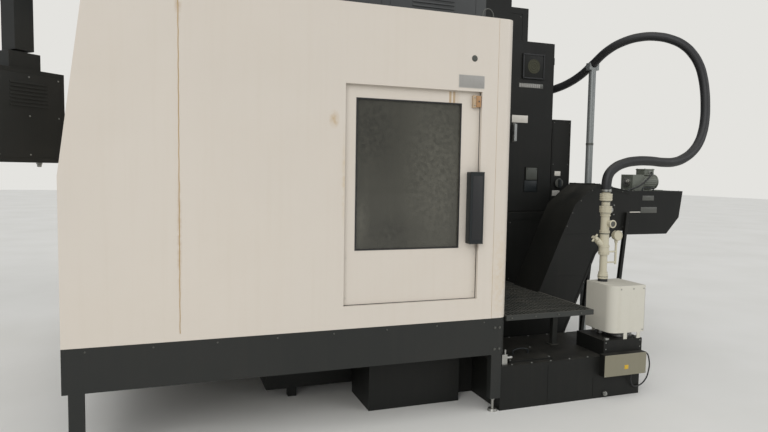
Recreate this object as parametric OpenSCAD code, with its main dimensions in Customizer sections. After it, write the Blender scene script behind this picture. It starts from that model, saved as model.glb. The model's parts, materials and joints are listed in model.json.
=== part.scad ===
// Horizontal machining center with a pallet changer, chip conveyor, coolant unit and electrical cabinet.
// The measuring origin is the enclosure's rear right corner on the floor: +X runs to the rear,
// +Y runs across the machine from the right side, +Z is up. finish() shifts all of it to the middle.

/* [Enclosure] */
// Length of the white enclosure along its side
enclosure_len = 2592; // [2540:1:2700]
// Width over the two side panels
enclosure_w = 3500; // [3440:5:3700]
// Height of the white panels' top edge
panel_top = 2510; // [2460:5:2600]
// Height of the white panels' bottom edge
panel_low = 622; // [600:1:640]
// Height of the black skirt's bottom edge
skirt_low = 383; // [340:1:420]
// Depth of a folded wall panel
panel_t = 24; // [20:1:30]
// Thickness of the front panel
front_t = 20; // [16:1:24]
// Radius of the rear corner strip
corner_r = 60; // [40:1:80]
// Width of the corner strip from its seam to the corner
strip_w = 119; // [100:1:140]
// Length of the rear return wall beside the step platform
return_len = 1200; // [1150:5:1240]
// Height at which the front starts to lean back
lean_from = 1500; // [1450:5:1600]
// How far the front leans back at its top
lean_back = 140; // [100:1:160]
// Width of a corner leg
leg_w = 74; // [60:1:90]
// Depth of a corner leg
leg_d = 50; // [40:1:60]
// Height of a corner leg's lower end
leg_low = 90; // [70:1:110]
// Radius of a levelling pad
pad_r = 32; // [25:1:40]
// Thickness of a levelling pad
pad_h = 16; // [12:1:20]
// Radius of a levelling bolt
stud_r = 9; // [7:1:11]

/* [Side door] */
// Width of the side doorway
door_open_w = 878; // [840:1:920]
// Height of the side doorway
door_open_h = 1296; // [1250:1:1350]
// Height of the side doorway's sill
door_sill = 756; // [740:1:780]
// Distance from the rear corner to the doorway
door_open_off = 227; // [215:1:240]
// Overlap of the door behind the panel
door_lap = 20; // [15:1:30]
// Thickness of the side door
door_t = 40; // [34:1:46]
// Gap between the door and the panel
door_gap = 4; // [3:0.5:6]
// Travel of the side door
door_travel = 780; // [700:5:790]
// Width of the side door's window
window_w = 673; // [600:1:700]
// Height of the side door's window
window_h = 889; // [800:1:950]
// Width of the door frame between doorway and window, front side
window_off = 75; // [60:1:100]
// Height of the door frame below the window
window_rise = 329; // [300:1:350]
// Thickness of the window
glass_t = 8; // [6:1:12]
// Width of the door handle
handle_w = 95; // [80:1:110]
// Height of the door handle
handle_h = 446; // [400:1:480]
// Height of the door handle's lower end
handle_low = 1111; // [1050:1:1150]
// How far the handle stands out of the wall
handle_out = 40; // [34:1:50]
// Size of a door rail's square section
rail_s = 20; // [16:1:24]
// Running gap of the sliding doors on their rails
rail_gap = 0.5; // [0.3:0.1:1]

/* [Loading door] */
// Width of the loading opening in the front
load_w = 1000; // [960:5:1040]
// Height of the loading opening's lower edge
load_low = 900; // [880:5:950]
// Height of the loading opening's upper edge
load_top = 2250; // [2200:5:2280]
// Thickness of the loading door
load_t = 30; // [24:1:34]
// Travel of the loading door
load_travel = 950; // [900:5:960]

/* [Work area] */
// Distance of the spindle's middle plane from the right side
work_y = 1860; // [1850:5:1870]
// Side of a square pallet
pallet_w = 450; // [440:1:454]
// Thickness of a pallet
pallet_t = 70; // [60:1:80]
// Height of the pallet's top face
pallet_top = 1050; // [1045:1:1060]
// Pitch of the pallet's threaded holes
pallet_pitch = 100; // [80:1:110]
// Radius of a pallet's threaded hole
pallet_hole_r = 7; // [6:0.5:8]
// Radius of the pallet's centre bore
pallet_bore_r = 25; // [20:1:30]
// Distance of the changer's axis behind the enclosure's front
changer_in = 950; // [942:1:957]
// Distance from the changer's axis to a pallet's centre
changer_r = 560; // [555:1:565]
// Lift of the pallet changer
changer_lift_h = 60; // [40:1:70]
// Distance of the table's rest position from the rear corner
table_off = 542; // [535:1:550]
// Radius of the rotary table
table_r = 170; // [150:1:172]
// Distance of the spindle nose from the rear corner
nose_off = 222; // [215:1:230]
// Height of the spindle's axis at rest
spindle_z = 1450; // [1440:1:1480]
// Radius of the spindle
spindle_r = 60; // [50:1:70]
// Radial clearance of shafts in their bores
shaft_gap = 0.05; // [0.02:0.01:0.1]
// Gap of the slides on their guide rails
slide_gap = 0.3; // [0.2:0.1:0.5]
// Width across the column's legs
column_w = 700; // [680:1:710]
// Width of the opening between the column's legs
column_open = 400; // [390:1:420]
// Height of the column above its rails
column_h = 1690; // [1650:5:1720]
// Depth of the column
column_d = 450; // [420:1:460]
// Distance of the column's front face behind the rear corner
column_off = 138; // [132:1:145]
// Radius of the tool magazine's pot circle
magazine_r = 300; // [280:1:305]
// Number of tool pots
pot_n = 20; // [16:1:24]
// Radius of a tool pot
pot_r = 36; // [30:1:40]
// Distance of the tool magazine's axis from the far side
magazine_in = 450; // [440:1:455]
// Half length of the tool change arm
change_r = 320; // [315:1:325]

/* [Rear] */
// Height of the black upper housings
housing_top = 3120; // [3050:5:3200]
// Length of the black housing on the enclosure's roof
roof_len = 1500; // [1460:5:1560]
// Distance from either side to the black housing on the roof
roof_in = 400; // [360:5:440]
// Wall of the black housings
housing_t = 20; // [16:1:24]
// Depth of the rear housing behind the rear corner
housing_len = 1205; // [1190:5:1240]
// Distance from the right side at which the rear housing widens
housing_step = 1765; // [1762:1:1800]
// Width of the electrical cabinet
cabinet_w = 447; // [440:1:460]
// Distance from the rear corner to the cabinet's outer side
cabinet_off = 1127; // [1120:1:1140]
// Height of the electrical cabinet
cabinet_top = 2685; // [2600:5:2750]
// Height of the cabinet door's lower edge
cabinet_low = 1222; // [1215:1:1240]
// Wall of the cabinet
cabinet_t = 16; // [12:1:20]
// Thickness of the cabinet door
cabinet_door_t = 24; // [20:1:30]
// Side of the filter fan's square frame
fan_w = 212; // [180:1:228]
// Radius of the fan's rotor
fan_r = 80; // [60:1:85]
// Width of the switch box
switch_w = 191; // [180:1:210]
// Height of the switch box's upper edge
switch_top = 2030; // [1950:5:2100]
// Depth of the switch box
switch_d = 300; // [250:5:340]

/* [Coolant unit] */
// Height of the coolant tank
tank_h = 287; // [260:1:300]
// Distance from the rear corner to the tank's outer end
tank_off = 1100; // [1090:1:1110]
// Depth of the coolant tank from front to back
tank_d = 630; // [600:1:640]
// Wall of the coolant tank
tank_t = 8; // [5:1:10]
// Thickness of the tank's lid
lid_t = 8; // [5:1:10]
// Height of the raised pump base's top
base_top = 401; // [380:1:420]
// Width of the pump cover
cover_w = 285; // [270:1:300]
// Depth of the pump cover
cover_d = 280; // [260:1:300]
// Height of the pump cover's lower edge
cover_low = 446; // [430:1:460]
// Height of the pump cover's top
cover_top = 780; // [740:5:820]
// Radius of the pump cover's rounded edge
cover_r = 70; // [40:1:90]
// Radius of the riser pipe
riser_r = 27; // [24:1:28]
// Height of the riser pipe's top
riser_top = 1450; // [1400:5:1480]
// Radius of the return hose
hose_r = 35; // [30:1:38]

/* [Chip conveyor] */
// Width of the conveyor casing
conveyor_w = 360; // [340:1:380]
// Distance from the right side to the conveyor casing
conveyor_y = 670; // [665:1:680]
// Wall of the conveyor casing
casing_t = 8; // [5:1:10]
// Radius of the conveyor belt's loop
belt_r = 118; // [110:1:125]
// Thickness of the conveyor belt
belt_t = 12; // [8:1:14]
// Radius of the conveyor's drive shaft
drive_r = 25; // [20:1:30]

/* [Step platform] */
// Length of the step platform
platform_len = 686; // [660:1:690]
// Height of the step platform's top
platform_top = 630; // [615:1:640]
// Height of the platform's edge band
platform_band = 35; // [30:1:45]
// Pitch of the grating bars
grate_pitch = 30; // [26:1:40]
// Thickness of a grating bar
grate_t = 6; // [4:1:8]

/* [Operator pendant] */
// Distance of the pendant's middle ahead of the enclosure's front
pendant_out = 310; // [300:1:330]
// Distance from the enclosure's front to the pendant's post on the roof
post_in = 292; // [280:1:320]
// Width of the operator pendant
pendant_w = 470; // [440:1:480]
// Height of the operator pendant
pendant_h = 550; // [500:5:600]
// Depth of the operator pendant
pendant_d = 180; // [150:1:190]
// Height of the operator pendant's lower edge
pendant_low = 1570; // [1550:5:1620]
// Side of the pendant arm's square tube
tube_w = 120; // [100:1:130]
// Radius of an operator's push button
button_r = 15; // [12:0.5:18]
// Travel of a push button
button_travel = 5; // [3:0.5:6]

/* [Hidden] */
$fn = 48;

WHITE = "#d0c6b9";
BLACK = "#2f3233";
CHARCOAL = "#3a3d3c";
STEEL = "#9a9c9c";
IRON = "#6b706f";
CREAM = "#cdc8b4";
GREY = "#bebcb4";
RUBBER = "#1d1e20";
GLASS = "#3c4444";
TOUCH = 0.5; // a cut runs this far past the face it opens

// Enclosure
lean_slope = lean_back / (panel_top - lean_from);
function front_x(z) = -enclosure_len + (z > lean_from ? (z - lean_from) * lean_slope : 0);

leg_x = [-leg_w / 2 - 36, -enclosure_len + leg_w / 2 + 30];
foot_in = leg_d / 2 + 9;
pass_gap = 6;

// Side door
door_x1 = -door_open_off;
door_x0 = door_x1 - door_open_w;
door_z1 = door_sill + door_open_h;
door_y = panel_t + door_gap;
window_x0 = door_x0 + window_off;
window_z0 = door_sill + window_rise;
handle_x1 = door_x1 + 11;
handle_x0 = handle_x1 - handle_w;
door_rail_y = door_y + (door_t - rail_s) / 2;
door_rail_z = door_z1 + door_lap + 10;
door_guide_z = door_sill - door_lap - 5 - rail_s;
lip_t = 6;
roof_t = 20;

// Loading door
load_y0 = work_y - load_w / 2;
load_y1 = load_y0 + load_w;
load_gap = 5;
load_lap = 30;
load_rail_z = load_top + load_lap + 15;

// Work area
changer_x = -enclosure_len + changer_in;
bed_front = changer_x - 208;
chute_x0 = changer_x + 162;
table_x = -table_off;
nose_x = -nose_off;
bed_bottom = 60;
bed_top = 600;
column_bed_top = 720;
rail_h = 40;
rail_w = 50;
table_rail_off = 200;
table_bed_w = 620;
table_rail_top = bed_top + rail_h;
column_rail_top = column_bed_top + rail_h;
magazine_y = enclosure_w - magazine_in;
column_bed_y0 = work_y - 620;
column_bed_y1 = magazine_y - 250;
saddle_w = 520;
saddle_top = 800;
pallet_low = pallet_top - pallet_t;
prong_w = 44;
prong_h = 50;
prong_in = 178;
prong_top = pallet_low - 12;
prong_len = changer_r + 150;
changer_shaft_r = 70;
head_w = column_open - 10;
head_h = 460;
head_front = nose_x + 47;
head_back = 500;
head_guide_t = 20;
magazine_z = 1700;
change_y = magazine_y - magazine_r - change_r;
change_x = nose_x - 70;

// Rear
cabinet_x1 = cabinet_off;
cabinet_x0 = cabinet_x1 - cabinet_w;
cabinet_y = return_len;
cabinet_carcass_y = cabinet_y + cabinet_door_t + 0.8;
cabinet_y1 = 1700;
cabinet_door_x0 = cabinet_x0 + 10;
cabinet_door_x1 = cabinet_x1 - 7;
cabinet_door_z0 = cabinet_low + 8;
cabinet_door_z1 = cabinet_top - 8;
hinge_x = cabinet_door_x1 + 3;
hinge_y = cabinet_y + 8;
hinge_r = 3.4;
fan_x = cabinet_x0 + 229;
fan_z = 2470;
latch_x = cabinet_x0 + 61;
latch_z = 1903;
flap_x0 = cabinet_x0 + 171;
flap_z0 = 1394;
pedestal_x1 = cabinet_x1 + 41;
switch_x1 = cabinet_x1 + switch_w;
switch_x = cabinet_x1 + 78;
switch_z = 1475;
port_x = cabinet_off + hose_r + 2;
port_y = 1715;
port_rim = hose_r + 3;
port_z = 2300;

// Coolant unit
tank_x0 = -33;
tank_y0 = 10;
tank_y1 = tank_y0 + tank_d;
sump_x0 = -852;
sump_x1 = -207;
sump_y0 = 260;
neck_y0 = 400;
base_x1 = tank_off + 11;
base_x0 = base_x1 - 329;
base_low = tank_h - 20;
cover_x1 = base_x1 + 12;
cover_x0 = cover_x1 - cover_w;
cover_y0 = tank_y0;
cover_t = 4;
riser_x = 925;
valve_ring_r = 37;
valve_ring_z = 974;
branch_z = 1028;
branch_a = -50;
tee_port_z = 1202;
riser_y = 225;
pump_x = 1020;
pump_y = 140;
lid_top = tank_h + lid_t;
drain_x = 800;

// Chip conveyor
casing_y1 = conveyor_y + conveyor_w;
casing_top_z = 430;
casing_low_z = 60;
casing_x0 = -1450;
incline_a = 66.5;
// The casing's upper bend, its sloped top and its head, as seen from the side
casing_outline = [[casing_x0, casing_low_z], [843, casing_low_z], [1137, 741], [1207, 903], [1310, 1020],
    [1532, 1149], [1532, 1416], [1199, 1475], [1096, 1400], [992, 1311], [895, 1100], [600, casing_top_z],
    [casing_x0, casing_top_z]];
casing_inside = [[casing_x0 + casing_t, casing_low_z + casing_t], [838, casing_low_z + casing_t],
    [1129, 744], [1200, 908], [1305, 1027], [1540, 1163], [1540, 1406], [1201, 1466],
    [1101, 1393], [999, 1306], [902, 1096], [604, casing_top_z - casing_t],
    [casing_x0 + casing_t, casing_top_z - casing_t]];
conveyor_leg_x = 1484;
conveyor_foot_x = 1362;
conveyor_leg_h = 1250;
leg_t = 30;
belt_tail = [-1300, 245];
belt_bend = [730, 245];
belt_knee = [1116, 1150];
belt_head = [1330, 1270];
loop_steps = 8;
sprocket_r = (belt_r - belt_t) * cos(90 / loop_steps) - slide_gap;
shaft_x = belt_head[0];
shaft_z = belt_head[1];
discharge_x0 = 1532;
discharge_x1 = 2120;
discharge_y0 = 700;
discharge_y1 = 1000;
platform_edge = 18;
platform_leg_x = 600;
post_x = 1440;
post_y = 1092;
post_r = 30;
post_top = 2480;
// The return hose's route, from the riser over the post's saddle to the port in the rear housing
hose_route = [[riser_x, riser_y, riser_top], [riser_x, riser_y, 1500], [942, 227, 1555], [996, 230, 1605],
    [1082, 234, 1640], [1190, 240, 1658], [1330, 250, 1662], [1470, 263, 1655], [1600, 280, 1662],
    [1710, 297, 1695], [1800, 312, 1745], [1875, 328, 1815], [1930, 346, 1905], [1965, 364, 2010],
    [1985, 385, 2125], [1992, 405, 2240], [1985, 425, 2350], [1965, 447, 2445], [1925, 480, 2535],
    [1870, 520, 2605], [1800, 575, 2655], [1715, 645, 2685], [1625, 730, 2690], [1540, 830, 2665],
    [1475, 940, 2610], [1436, 1092, 2509], [1405, 1210, 2430], [1355, 1320, 2370], [1290, 1420, 2330],
    [1228, 1510, 2308], [1184, 1600, 2300], [port_x, 1660, port_z], [port_x, port_y, port_z]];

// Operator pendant
pendant_x = -enclosure_len - pendant_out;
pendant_y = 835;
pendant_a = 45;
post_px = -enclosure_len + post_in;
post_py = 500;
pivot_r = 45;
arm_z0 = 2900;
arm_z1 = 3000;
pendant_top = pendant_low + pendant_h;
bracket_h = 100;
tube_low = pendant_top + bracket_h + 12;
neck_r = 35;
wall_p = 12;
button_x = [-150, -60, 60];
button_z = pendant_low + 90;

// Extents of the whole machine, which put the origin in the middle of its base
pendant_reach = pendant_w / 2 * cos(pendant_a) + pendant_d / 2 * sin(pendant_a);
low_x = pendant_x - pendant_reach;
high_x = discharge_x1;
low_y = -50;
high_y = enclosure_w;
mid_x = (low_x + high_x) / 2;
mid_y = (low_y + high_y) / 2;

// Helpers
module finish(paint) color(paint) translate([-mid_x, -mid_y, 0]) children();
module block(low, high) translate(low) cube(high - low);
module along_x(p, r, h) translate(p) rotate([0, 90, 0]) cylinder(r = r, h = h);
module along_y(p, r, h) translate(p) rotate([-90, 0, 0]) cylinder(r = r, h = h);
module along_z(p, r, h) translate(p) cylinder(r = r, h = h);
module rod(a, b, r) {
    d = b - a;
    translate(a) rotate([0, acos(d[2] / norm(d)), atan2(d[1], d[0])]) cylinder(r = r, h = norm(d));
}
// An outline in X and Z, drawn out along Y
module draw_y(y0, y1) translate([0, y1, 0]) rotate([90, 0, 0]) linear_extrude(y1 - y0) children();
// The front's leaning profile between two heights, from one depth behind its face to another
module front_band(z0, z1, d0, d1) polygon(z0 < lean_from
    ? [[front_x(z0) + d0, z0], [front_x(lean_from) + d0, lean_from], [front_x(z1) + d0, z1],
       [front_x(z1) + d1, z1], [front_x(lean_from) + d1, lean_from], [front_x(z0) + d1, z0]]
    : [[front_x(z0) + d0, z0], [front_x(z1) + d0, z1], [front_x(z1) + d1, z1], [front_x(z0) + d1, z0]]);
// A side wall's outline with the leaning front edge
module side_outline(x1) polygon([[front_x(0), panel_low], [front_x(0), lean_from],
    [front_x(panel_top), panel_top], [x1, panel_top], [x1, panel_low]]);
// Area inside the rear corner line, set in by d
module corner_area(d) difference() {
    translate([-strip_w, d]) square([strip_w - d, return_len - d]);
    difference() {
        translate([-corner_r, d]) square([corner_r - d, corner_r - d]);
        translate([-corner_r, corner_r]) circle(corner_r - d);
    }
}
module corner_band() difference() {
    corner_area(0);
    corner_area(panel_t);
}

// Bed and base
module bed_cavity(low, high) block(low + [40, 40, -TOUCH], high - [40, 40, 40]);
module bed_casting() finish(IRON) difference() {
    union() {
        difference() {
            union() {
                block([bed_front, work_y - table_bed_w / 2, bed_bottom],
                    [90, work_y + table_bed_w / 2, bed_top]);
                block([80, column_bed_y0, bed_bottom], [650, column_bed_y1, column_bed_top]);
                block([-80, column_bed_y1 - 100, bed_bottom], [160, column_bed_y1 + 380, 300]);
            }
            bed_cavity([bed_front, work_y - table_bed_w / 2, bed_bottom],
                [90, work_y + table_bed_w / 2, bed_top]);
            bed_cavity([80, column_bed_y0, bed_bottom], [650, column_bed_y1, column_bed_top]);
        }
        along_z([changer_x, work_y, bed_bottom], changer_shaft_r + 45, bed_top - bed_bottom);
        for (x = [-1200, -700, -250])
            block([x, work_y - 300, bed_bottom], [x + 40, work_y + 300, bed_top - 20]);
    }
    along_z([changer_x, work_y, bed_bottom - TOUCH], changer_shaft_r + shaft_gap, bed_top);
}
module levelling_foot(x, y) translate([x, y, 0]) {
    cylinder(r1 = pad_r, r2 = pad_r - 4, h = pad_h);
    cylinder(r = stud_r, h = leg_low);
    translate([0, 0, leg_low - 14]) cylinder(r = 15, h = 14, $fn = 6);
}
module levelling_feet() finish(STEEL) {
    for (x = leg_x, y = [foot_in, enclosure_w - foot_in]) levelling_foot(x, y);
    for (x = [bed_front + 100, -1250, -600], y = [work_y - 270, work_y + 270])
        translate([x, y, 0]) cylinder(r = 60, h = bed_bottom);
    for (x = [130, 600], y = [column_bed_y0 + 60, work_y + 200, column_bed_y1 - 60])
        translate([x, y, 0]) cylinder(r = 60, h = bed_bottom);
}
module corner_leg(x) {
    block([x - leg_w / 2, 0, leg_low], [x + leg_w / 2, leg_d, skirt_low]);
    block([x - leg_w / 2, panel_t, skirt_low], [x + leg_w / 2, leg_d, panel_low]);
}
module base_skirt() finish(BLACK) {
    skirt_x = front_x(0);
    block([skirt_x, 0, skirt_low], [-strip_w, panel_t, panel_low]);
    block([skirt_x, enclosure_w - panel_t, skirt_low], [0, enclosure_w, panel_low]);
    block([skirt_x, panel_t, skirt_low], [skirt_x + front_t, enclosure_w - panel_t, panel_low]);
    difference() {
        translate([0, 0, skirt_low]) linear_extrude(panel_low - skirt_low) corner_band();
        block([-panel_t - TOUCH, conveyor_y - pass_gap, skirt_low - TOUCH],
            [TOUCH, casing_y1 + pass_gap, casing_top_z + pass_gap]);
    }
    for (x = leg_x) {
        corner_leg(x);
        translate([0, enclosure_w, 0]) mirror([0, 1, 0]) corner_leg(x);
    }
}

// Enclosure walls
module side_panel() finish(WHITE) {
    difference() {
        draw_y(0, panel_t) side_outline(-strip_w);
        block([door_x0, -TOUCH, door_sill], [door_x1, panel_t + TOUCH, door_z1]);
        along_y([-286, -TOUCH, 2252], 20, panel_t + 1);
    }
    for (z = [door_rail_z, door_guide_z]) {
        block([door_x0 - door_lap - door_travel, door_rail_y, z],
            [door_x1 + door_lap, door_rail_y + rail_s, z + rail_s]);
        block([door_x0 - door_lap - door_travel, panel_t, z], [door_x1 + door_lap, door_rail_y, z + rail_s]);
    }
    along_y([-286, 2, 2252], 20, panel_t - 2);
}
module corner_post() finish(WHITE) translate([0, 0, panel_low])
    linear_extrude(panel_top - panel_low) corner_band();
module far_side_panel() finish(WHITE)
    draw_y(enclosure_w - panel_t, enclosure_w) side_outline(0);
module front_panel() finish(WHITE) {
    difference() {
        draw_y(panel_t, enclosure_w - panel_t) front_band(panel_low, panel_top, 0, front_t);
        draw_y(load_y0, load_y1) front_band(load_low, load_top, -TOUCH, front_t + TOUCH);
    }
    rail_x = front_x(load_rail_z) + front_t + load_gap + (load_t - rail_s) / 2;
    block([rail_x, load_y0 - load_lap, load_rail_z],
        [rail_x + rail_s, load_y1 + load_travel, load_rail_z + rail_s]);
    block([front_x(load_rail_z) + front_t - 1, load_y0 - load_lap, load_rail_z],
        [rail_x, load_y1 + load_travel, load_rail_z + rail_s]);
    block([front_x(0) + front_t, load_y0 - load_lap, load_low - load_lap - 5 - rail_s],
        [front_x(0) + front_t + load_gap + load_t, load_y1 + load_travel, load_low - load_lap - 5]);
}
module upper_housing() finish(BLACK) {
    x0 = -roof_len;
    y0 = roof_in;
    y1 = enclosure_w - roof_in;
    difference() {
        union() {
            block([front_x(panel_top) + front_t, panel_t, panel_top - roof_t],
                [-corner_r, enclosure_w - panel_t, panel_top]);
            block([-corner_r - TOUCH, corner_r, panel_top - roof_t],
                [-panel_t, enclosure_w - panel_t, panel_top]);
            along_z([-corner_r, corner_r, panel_top - roof_t], corner_r - panel_t - slide_gap, roof_t);
            block([-panel_t - 1, return_len, panel_top - roof_t], [0, enclosure_w - panel_t, panel_top]);
            block([x0, y0, panel_top], [0, y1, housing_top]);
        }
        block([x0 + housing_t, y0 + housing_t, panel_top - roof_t - TOUCH],
            [-housing_t - panel_t, y1 - housing_t, housing_top - housing_t]);
    }
}
module rear_area(d) polygon([[0, return_len + d], [cabinet_x0 - d, return_len + d],
    [cabinet_x0 - d, housing_step + d], [housing_len - d, housing_step + d],
    [housing_len - d, enclosure_w - d], [0, enclosure_w - d]]);
module rear_housing() finish(BLACK) difference() {
    union() {
        difference() {
            translate([0, 0, leg_low]) linear_extrude(housing_top - leg_low) rear_area(0);
            translate([0, 0, leg_low - TOUCH])
                linear_extrude(housing_top - housing_t - leg_low) rear_area(housing_t);
            block([-TOUCH, return_len + housing_t, leg_low - TOUCH],
                [housing_t + TOUCH, enclosure_w - housing_t, panel_top - 40]);
        }
        block([port_x - port_rim, port_y, port_z - port_rim],
            [port_x + port_rim, housing_step, port_z + port_rim]);
    }
    along_y([port_x, port_y - TOUCH, port_z], hose_r - 10, housing_step - port_y + housing_t + 1);
}
module chamber_floor() finish(STEEL) {
    chute_x1 = -panel_t;
    pan_t = 8;
    // Slopes from the right side and from the bed down to the conveyor's mouth
    draw_x(chute_x0, chute_x1) polygon([[70, 700], [conveyor_y + 10, 455], [conveyor_y + 10, 455 - pan_t],
        [70, 700 - pan_t]]);
    draw_x(chute_x0, chute_x1) polygon([[casing_y1 - 10, 455], [work_y - table_bed_w / 2, 560],
        [work_y - table_bed_w / 2, 560 - pan_t], [casing_y1 - 10, 455 - pan_t]]);
    draw_x(chute_x0, chute_x1) polygon([[work_y + table_bed_w / 2, 560], [enclosure_w - panel_t, 760],
        [enclosure_w - panel_t, 760 - pan_t], [work_y + table_bed_w / 2, 560 - pan_t]]);
    block([chute_x0, conveyor_y + 10 - pan_t, casing_top_z], [chute_x1, conveyor_y + 10, 455]);
    block([chute_x0, casing_y1 - 10, casing_top_z], [chute_x1, casing_y1 - 10 + pan_t, 455]);
    // Fixed side walls of the divider between the work area and the loading area
    block([changer_x - 6, 80, panel_low], [changer_x + 6, work_y - 850, panel_top - 40]);
    block([changer_x - 6, work_y + 850, panel_low], [changer_x + 6, enclosure_w - panel_t, panel_top - 40]);
    block([chute_x0 - pan_t, 80, 430], [chute_x0, work_y - table_bed_w / 2, 880]);
    block([chute_x0 - pan_t, work_y + table_bed_w / 2, 430], [chute_x0, enclosure_w - panel_t, 880]);
    block([changer_x - 6, 80, panel_low], [chute_x0, work_y - 850, panel_low + pan_t]);
    block([changer_x - 6, work_y + 850, panel_low], [chute_x0, enclosure_w - panel_t, panel_low + pan_t]);
}
module draw_x(x0, x1) translate([x0, 0, 0]) rotate([90, 0, 90]) linear_extrude(x1 - x0) children();
module guide_rails() finish(STEEL) {
    for (s = [-1, 1]) block([-1400, work_y + s * table_rail_off - rail_w / 2, bed_top],
        [-60, work_y + s * table_rail_off + rail_w / 2, table_rail_top]);
    for (x = [column_rail_x(0), column_rail_x(1)])
        block([x, column_bed_y0 + 20, column_bed_top], [x + rail_w, column_bed_y1 - 20, column_rail_top]);
}
function column_rail_x(n) = column_off + 60 + n * (column_d - 120 - rail_w);

// Rear units
module electrical_cabinet() finish(BLACK) {
    difference() {
        block([cabinet_x0, cabinet_carcass_y, cabinet_low], [cabinet_x1, cabinet_y1, cabinet_top]);
        block([cabinet_x0 + cabinet_t, cabinet_carcass_y - TOUCH, cabinet_low + cabinet_t],
            [cabinet_x1 - cabinet_t, cabinet_y1 - cabinet_t, cabinet_top - cabinet_t]);
    }
    difference() {
        block([cabinet_x0, cabinet_y, 0], [pedestal_x1, cabinet_y1, cabinet_low]);
        block([cabinet_x0 + cabinet_t, cabinet_y + cabinet_t, -TOUCH],
            [pedestal_x1 - cabinet_t, cabinet_y1 - cabinet_t, cabinet_low - cabinet_t]);
    }
}
module cabinet_backplate() finish(GREY) {
    plate_y = cabinet_y1 - cabinet_t - 12;
    x0 = cabinet_x0 + 50;
    block([x0, plate_y, cabinet_low + 60], [cabinet_x1 - 50, plate_y + 4, cabinet_top - 60]);
    for (x = [x0 + 30, cabinet_x1 - 80], z = [cabinet_low + 90, cabinet_top - 90])
        along_y([x, plate_y + 4, z], 8, 8);
    for (n = [0:2]) block([x0 + 15 + n * 110, plate_y - 180, 1950], [x0 + 105 + n * 110, plate_y, 2330]);
    for (n = [0:5]) block([x0 + 15 + n * 54, plate_y - 70, 1700], [x0 + 60 + n * 54, plate_y, 1790]);
    block([x0 + 15, plate_y - 110, 1400], [x0 + 200, plate_y, 1600]);
}
module switch_box() finish(BLACK) difference() {
    block([cabinet_x1, cabinet_y, cabinet_low + 2], [switch_x1, cabinet_y + switch_d, switch_top]);
    block([cabinet_x1 - TOUCH, cabinet_y + 12, cabinet_low + 14],
        [switch_x1 - 12, cabinet_y + switch_d - 12, switch_top - 12]);
    along_y([switch_x, cabinet_y - TOUCH, switch_z], 8 + shaft_gap, 20);
}

// Coolant unit
module tank_area(d) union() {
    translate([tank_x0 + d, tank_y0 + d]) square([tank_off - tank_x0 - 2 * d, tank_d - 2 * d]);
    translate([sump_x0 + d, sump_y0 + d]) square([sump_x1 - sump_x0 - 2 * d, tank_y1 - sump_y0 - 2 * d]);
    translate([sump_x1 - 2 * d, neck_y0 + d])
        square([tank_x0 - sump_x1 + 4 * d, tank_y1 - neck_y0 - 2 * d]);
}
module coolant_tank() finish(BLACK) difference() {
    linear_extrude(tank_h) tank_area(0);
    translate([0, 0, tank_t]) linear_extrude(tank_h) tank_area(tank_t);
    along_y([drain_x, tank_y0 - TOUCH, 30], 10, tank_t + 1);
}
module tank_lid() finish(BLACK) difference() {
    union() {
        translate([0, 0, tank_h]) linear_extrude(lid_t) tank_area(0);
        block([base_x0, tank_y0, tank_h], [base_x1, tank_y0 + 300, base_top]);
        block([60, 60, lid_top], [400, 330, lid_top + 12]);
    }
    block([base_x0 + 6, tank_y0 + 6, tank_h - TOUCH], [base_x1 - 17, tank_y0 + 294, base_top - 8]);
    along_z([pump_x, pump_y, tank_h], 62, 200);
}
module cover_area(d) union() {
    translate([cover_x0 + cover_r, cover_y0 + d]) square([cover_w - cover_r - d, cover_d - 2 * d]);
    translate([cover_x0 + d, cover_y0 + cover_r]) square([cover_w - 2 * d, cover_d - cover_r - d]);
    translate([cover_x0 + cover_r, cover_y0 + cover_r]) circle(cover_r - d);
}
module pump_housing() finish(GREY) {
    difference() {
        translate([0, 0, cover_low]) linear_extrude(cover_top - cover_low) cover_area(0);
        translate([0, 0, cover_low - TOUCH])
            linear_extrude(cover_top - cover_low - cover_t) cover_area(cover_t);
        along_z([riser_x, riser_y, cover_top - 20], 36, 40);
    }
    for (x = [cover_x0 + 110, cover_x1 - 60])
        block([x, cover_y0, base_top], [x + 30, cover_y0 + cover_t, cover_low]);
    for (x = [cover_x0 + 60, cover_x1 - 80])
        block([x, cover_y0 + cover_d - cover_t, base_top], [x + 30, cover_y0 + cover_d, cover_low]);
}
module coolant_pump() finish(STEEL) {
    along_z([pump_x, pump_y, base_top], 85, 14);
    along_z([pump_x, pump_y, 60], 55, base_top - 60);
    along_z([pump_x, pump_y, 30], 68, 30);
    along_z([pump_x, pump_y, base_top + 14], 40, 30);
    along_z([pump_x, pump_y, base_top + 44], 72, 230);
    along_z([pump_x, pump_y, base_top + 274], 60, 12);
    along_z([riser_x, riser_y, base_top], riser_r, cover_top - 25 - base_top);
    translate([pump_x, pump_y, base_top + 32])
        rotate([0, 90, atan2(riser_y - pump_y, riser_x - pump_x)])
        cylinder(r = 18, h = norm([riser_x - pump_x, riser_y - pump_y]));
}
module riser_coupling() finish(RUBBER) difference() {
    along_z([riser_x, riser_y, cover_top - 25], 34, 45);
    along_z([riser_x, riser_y, cover_top - 26], riser_r - 4, 50);
}
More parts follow.
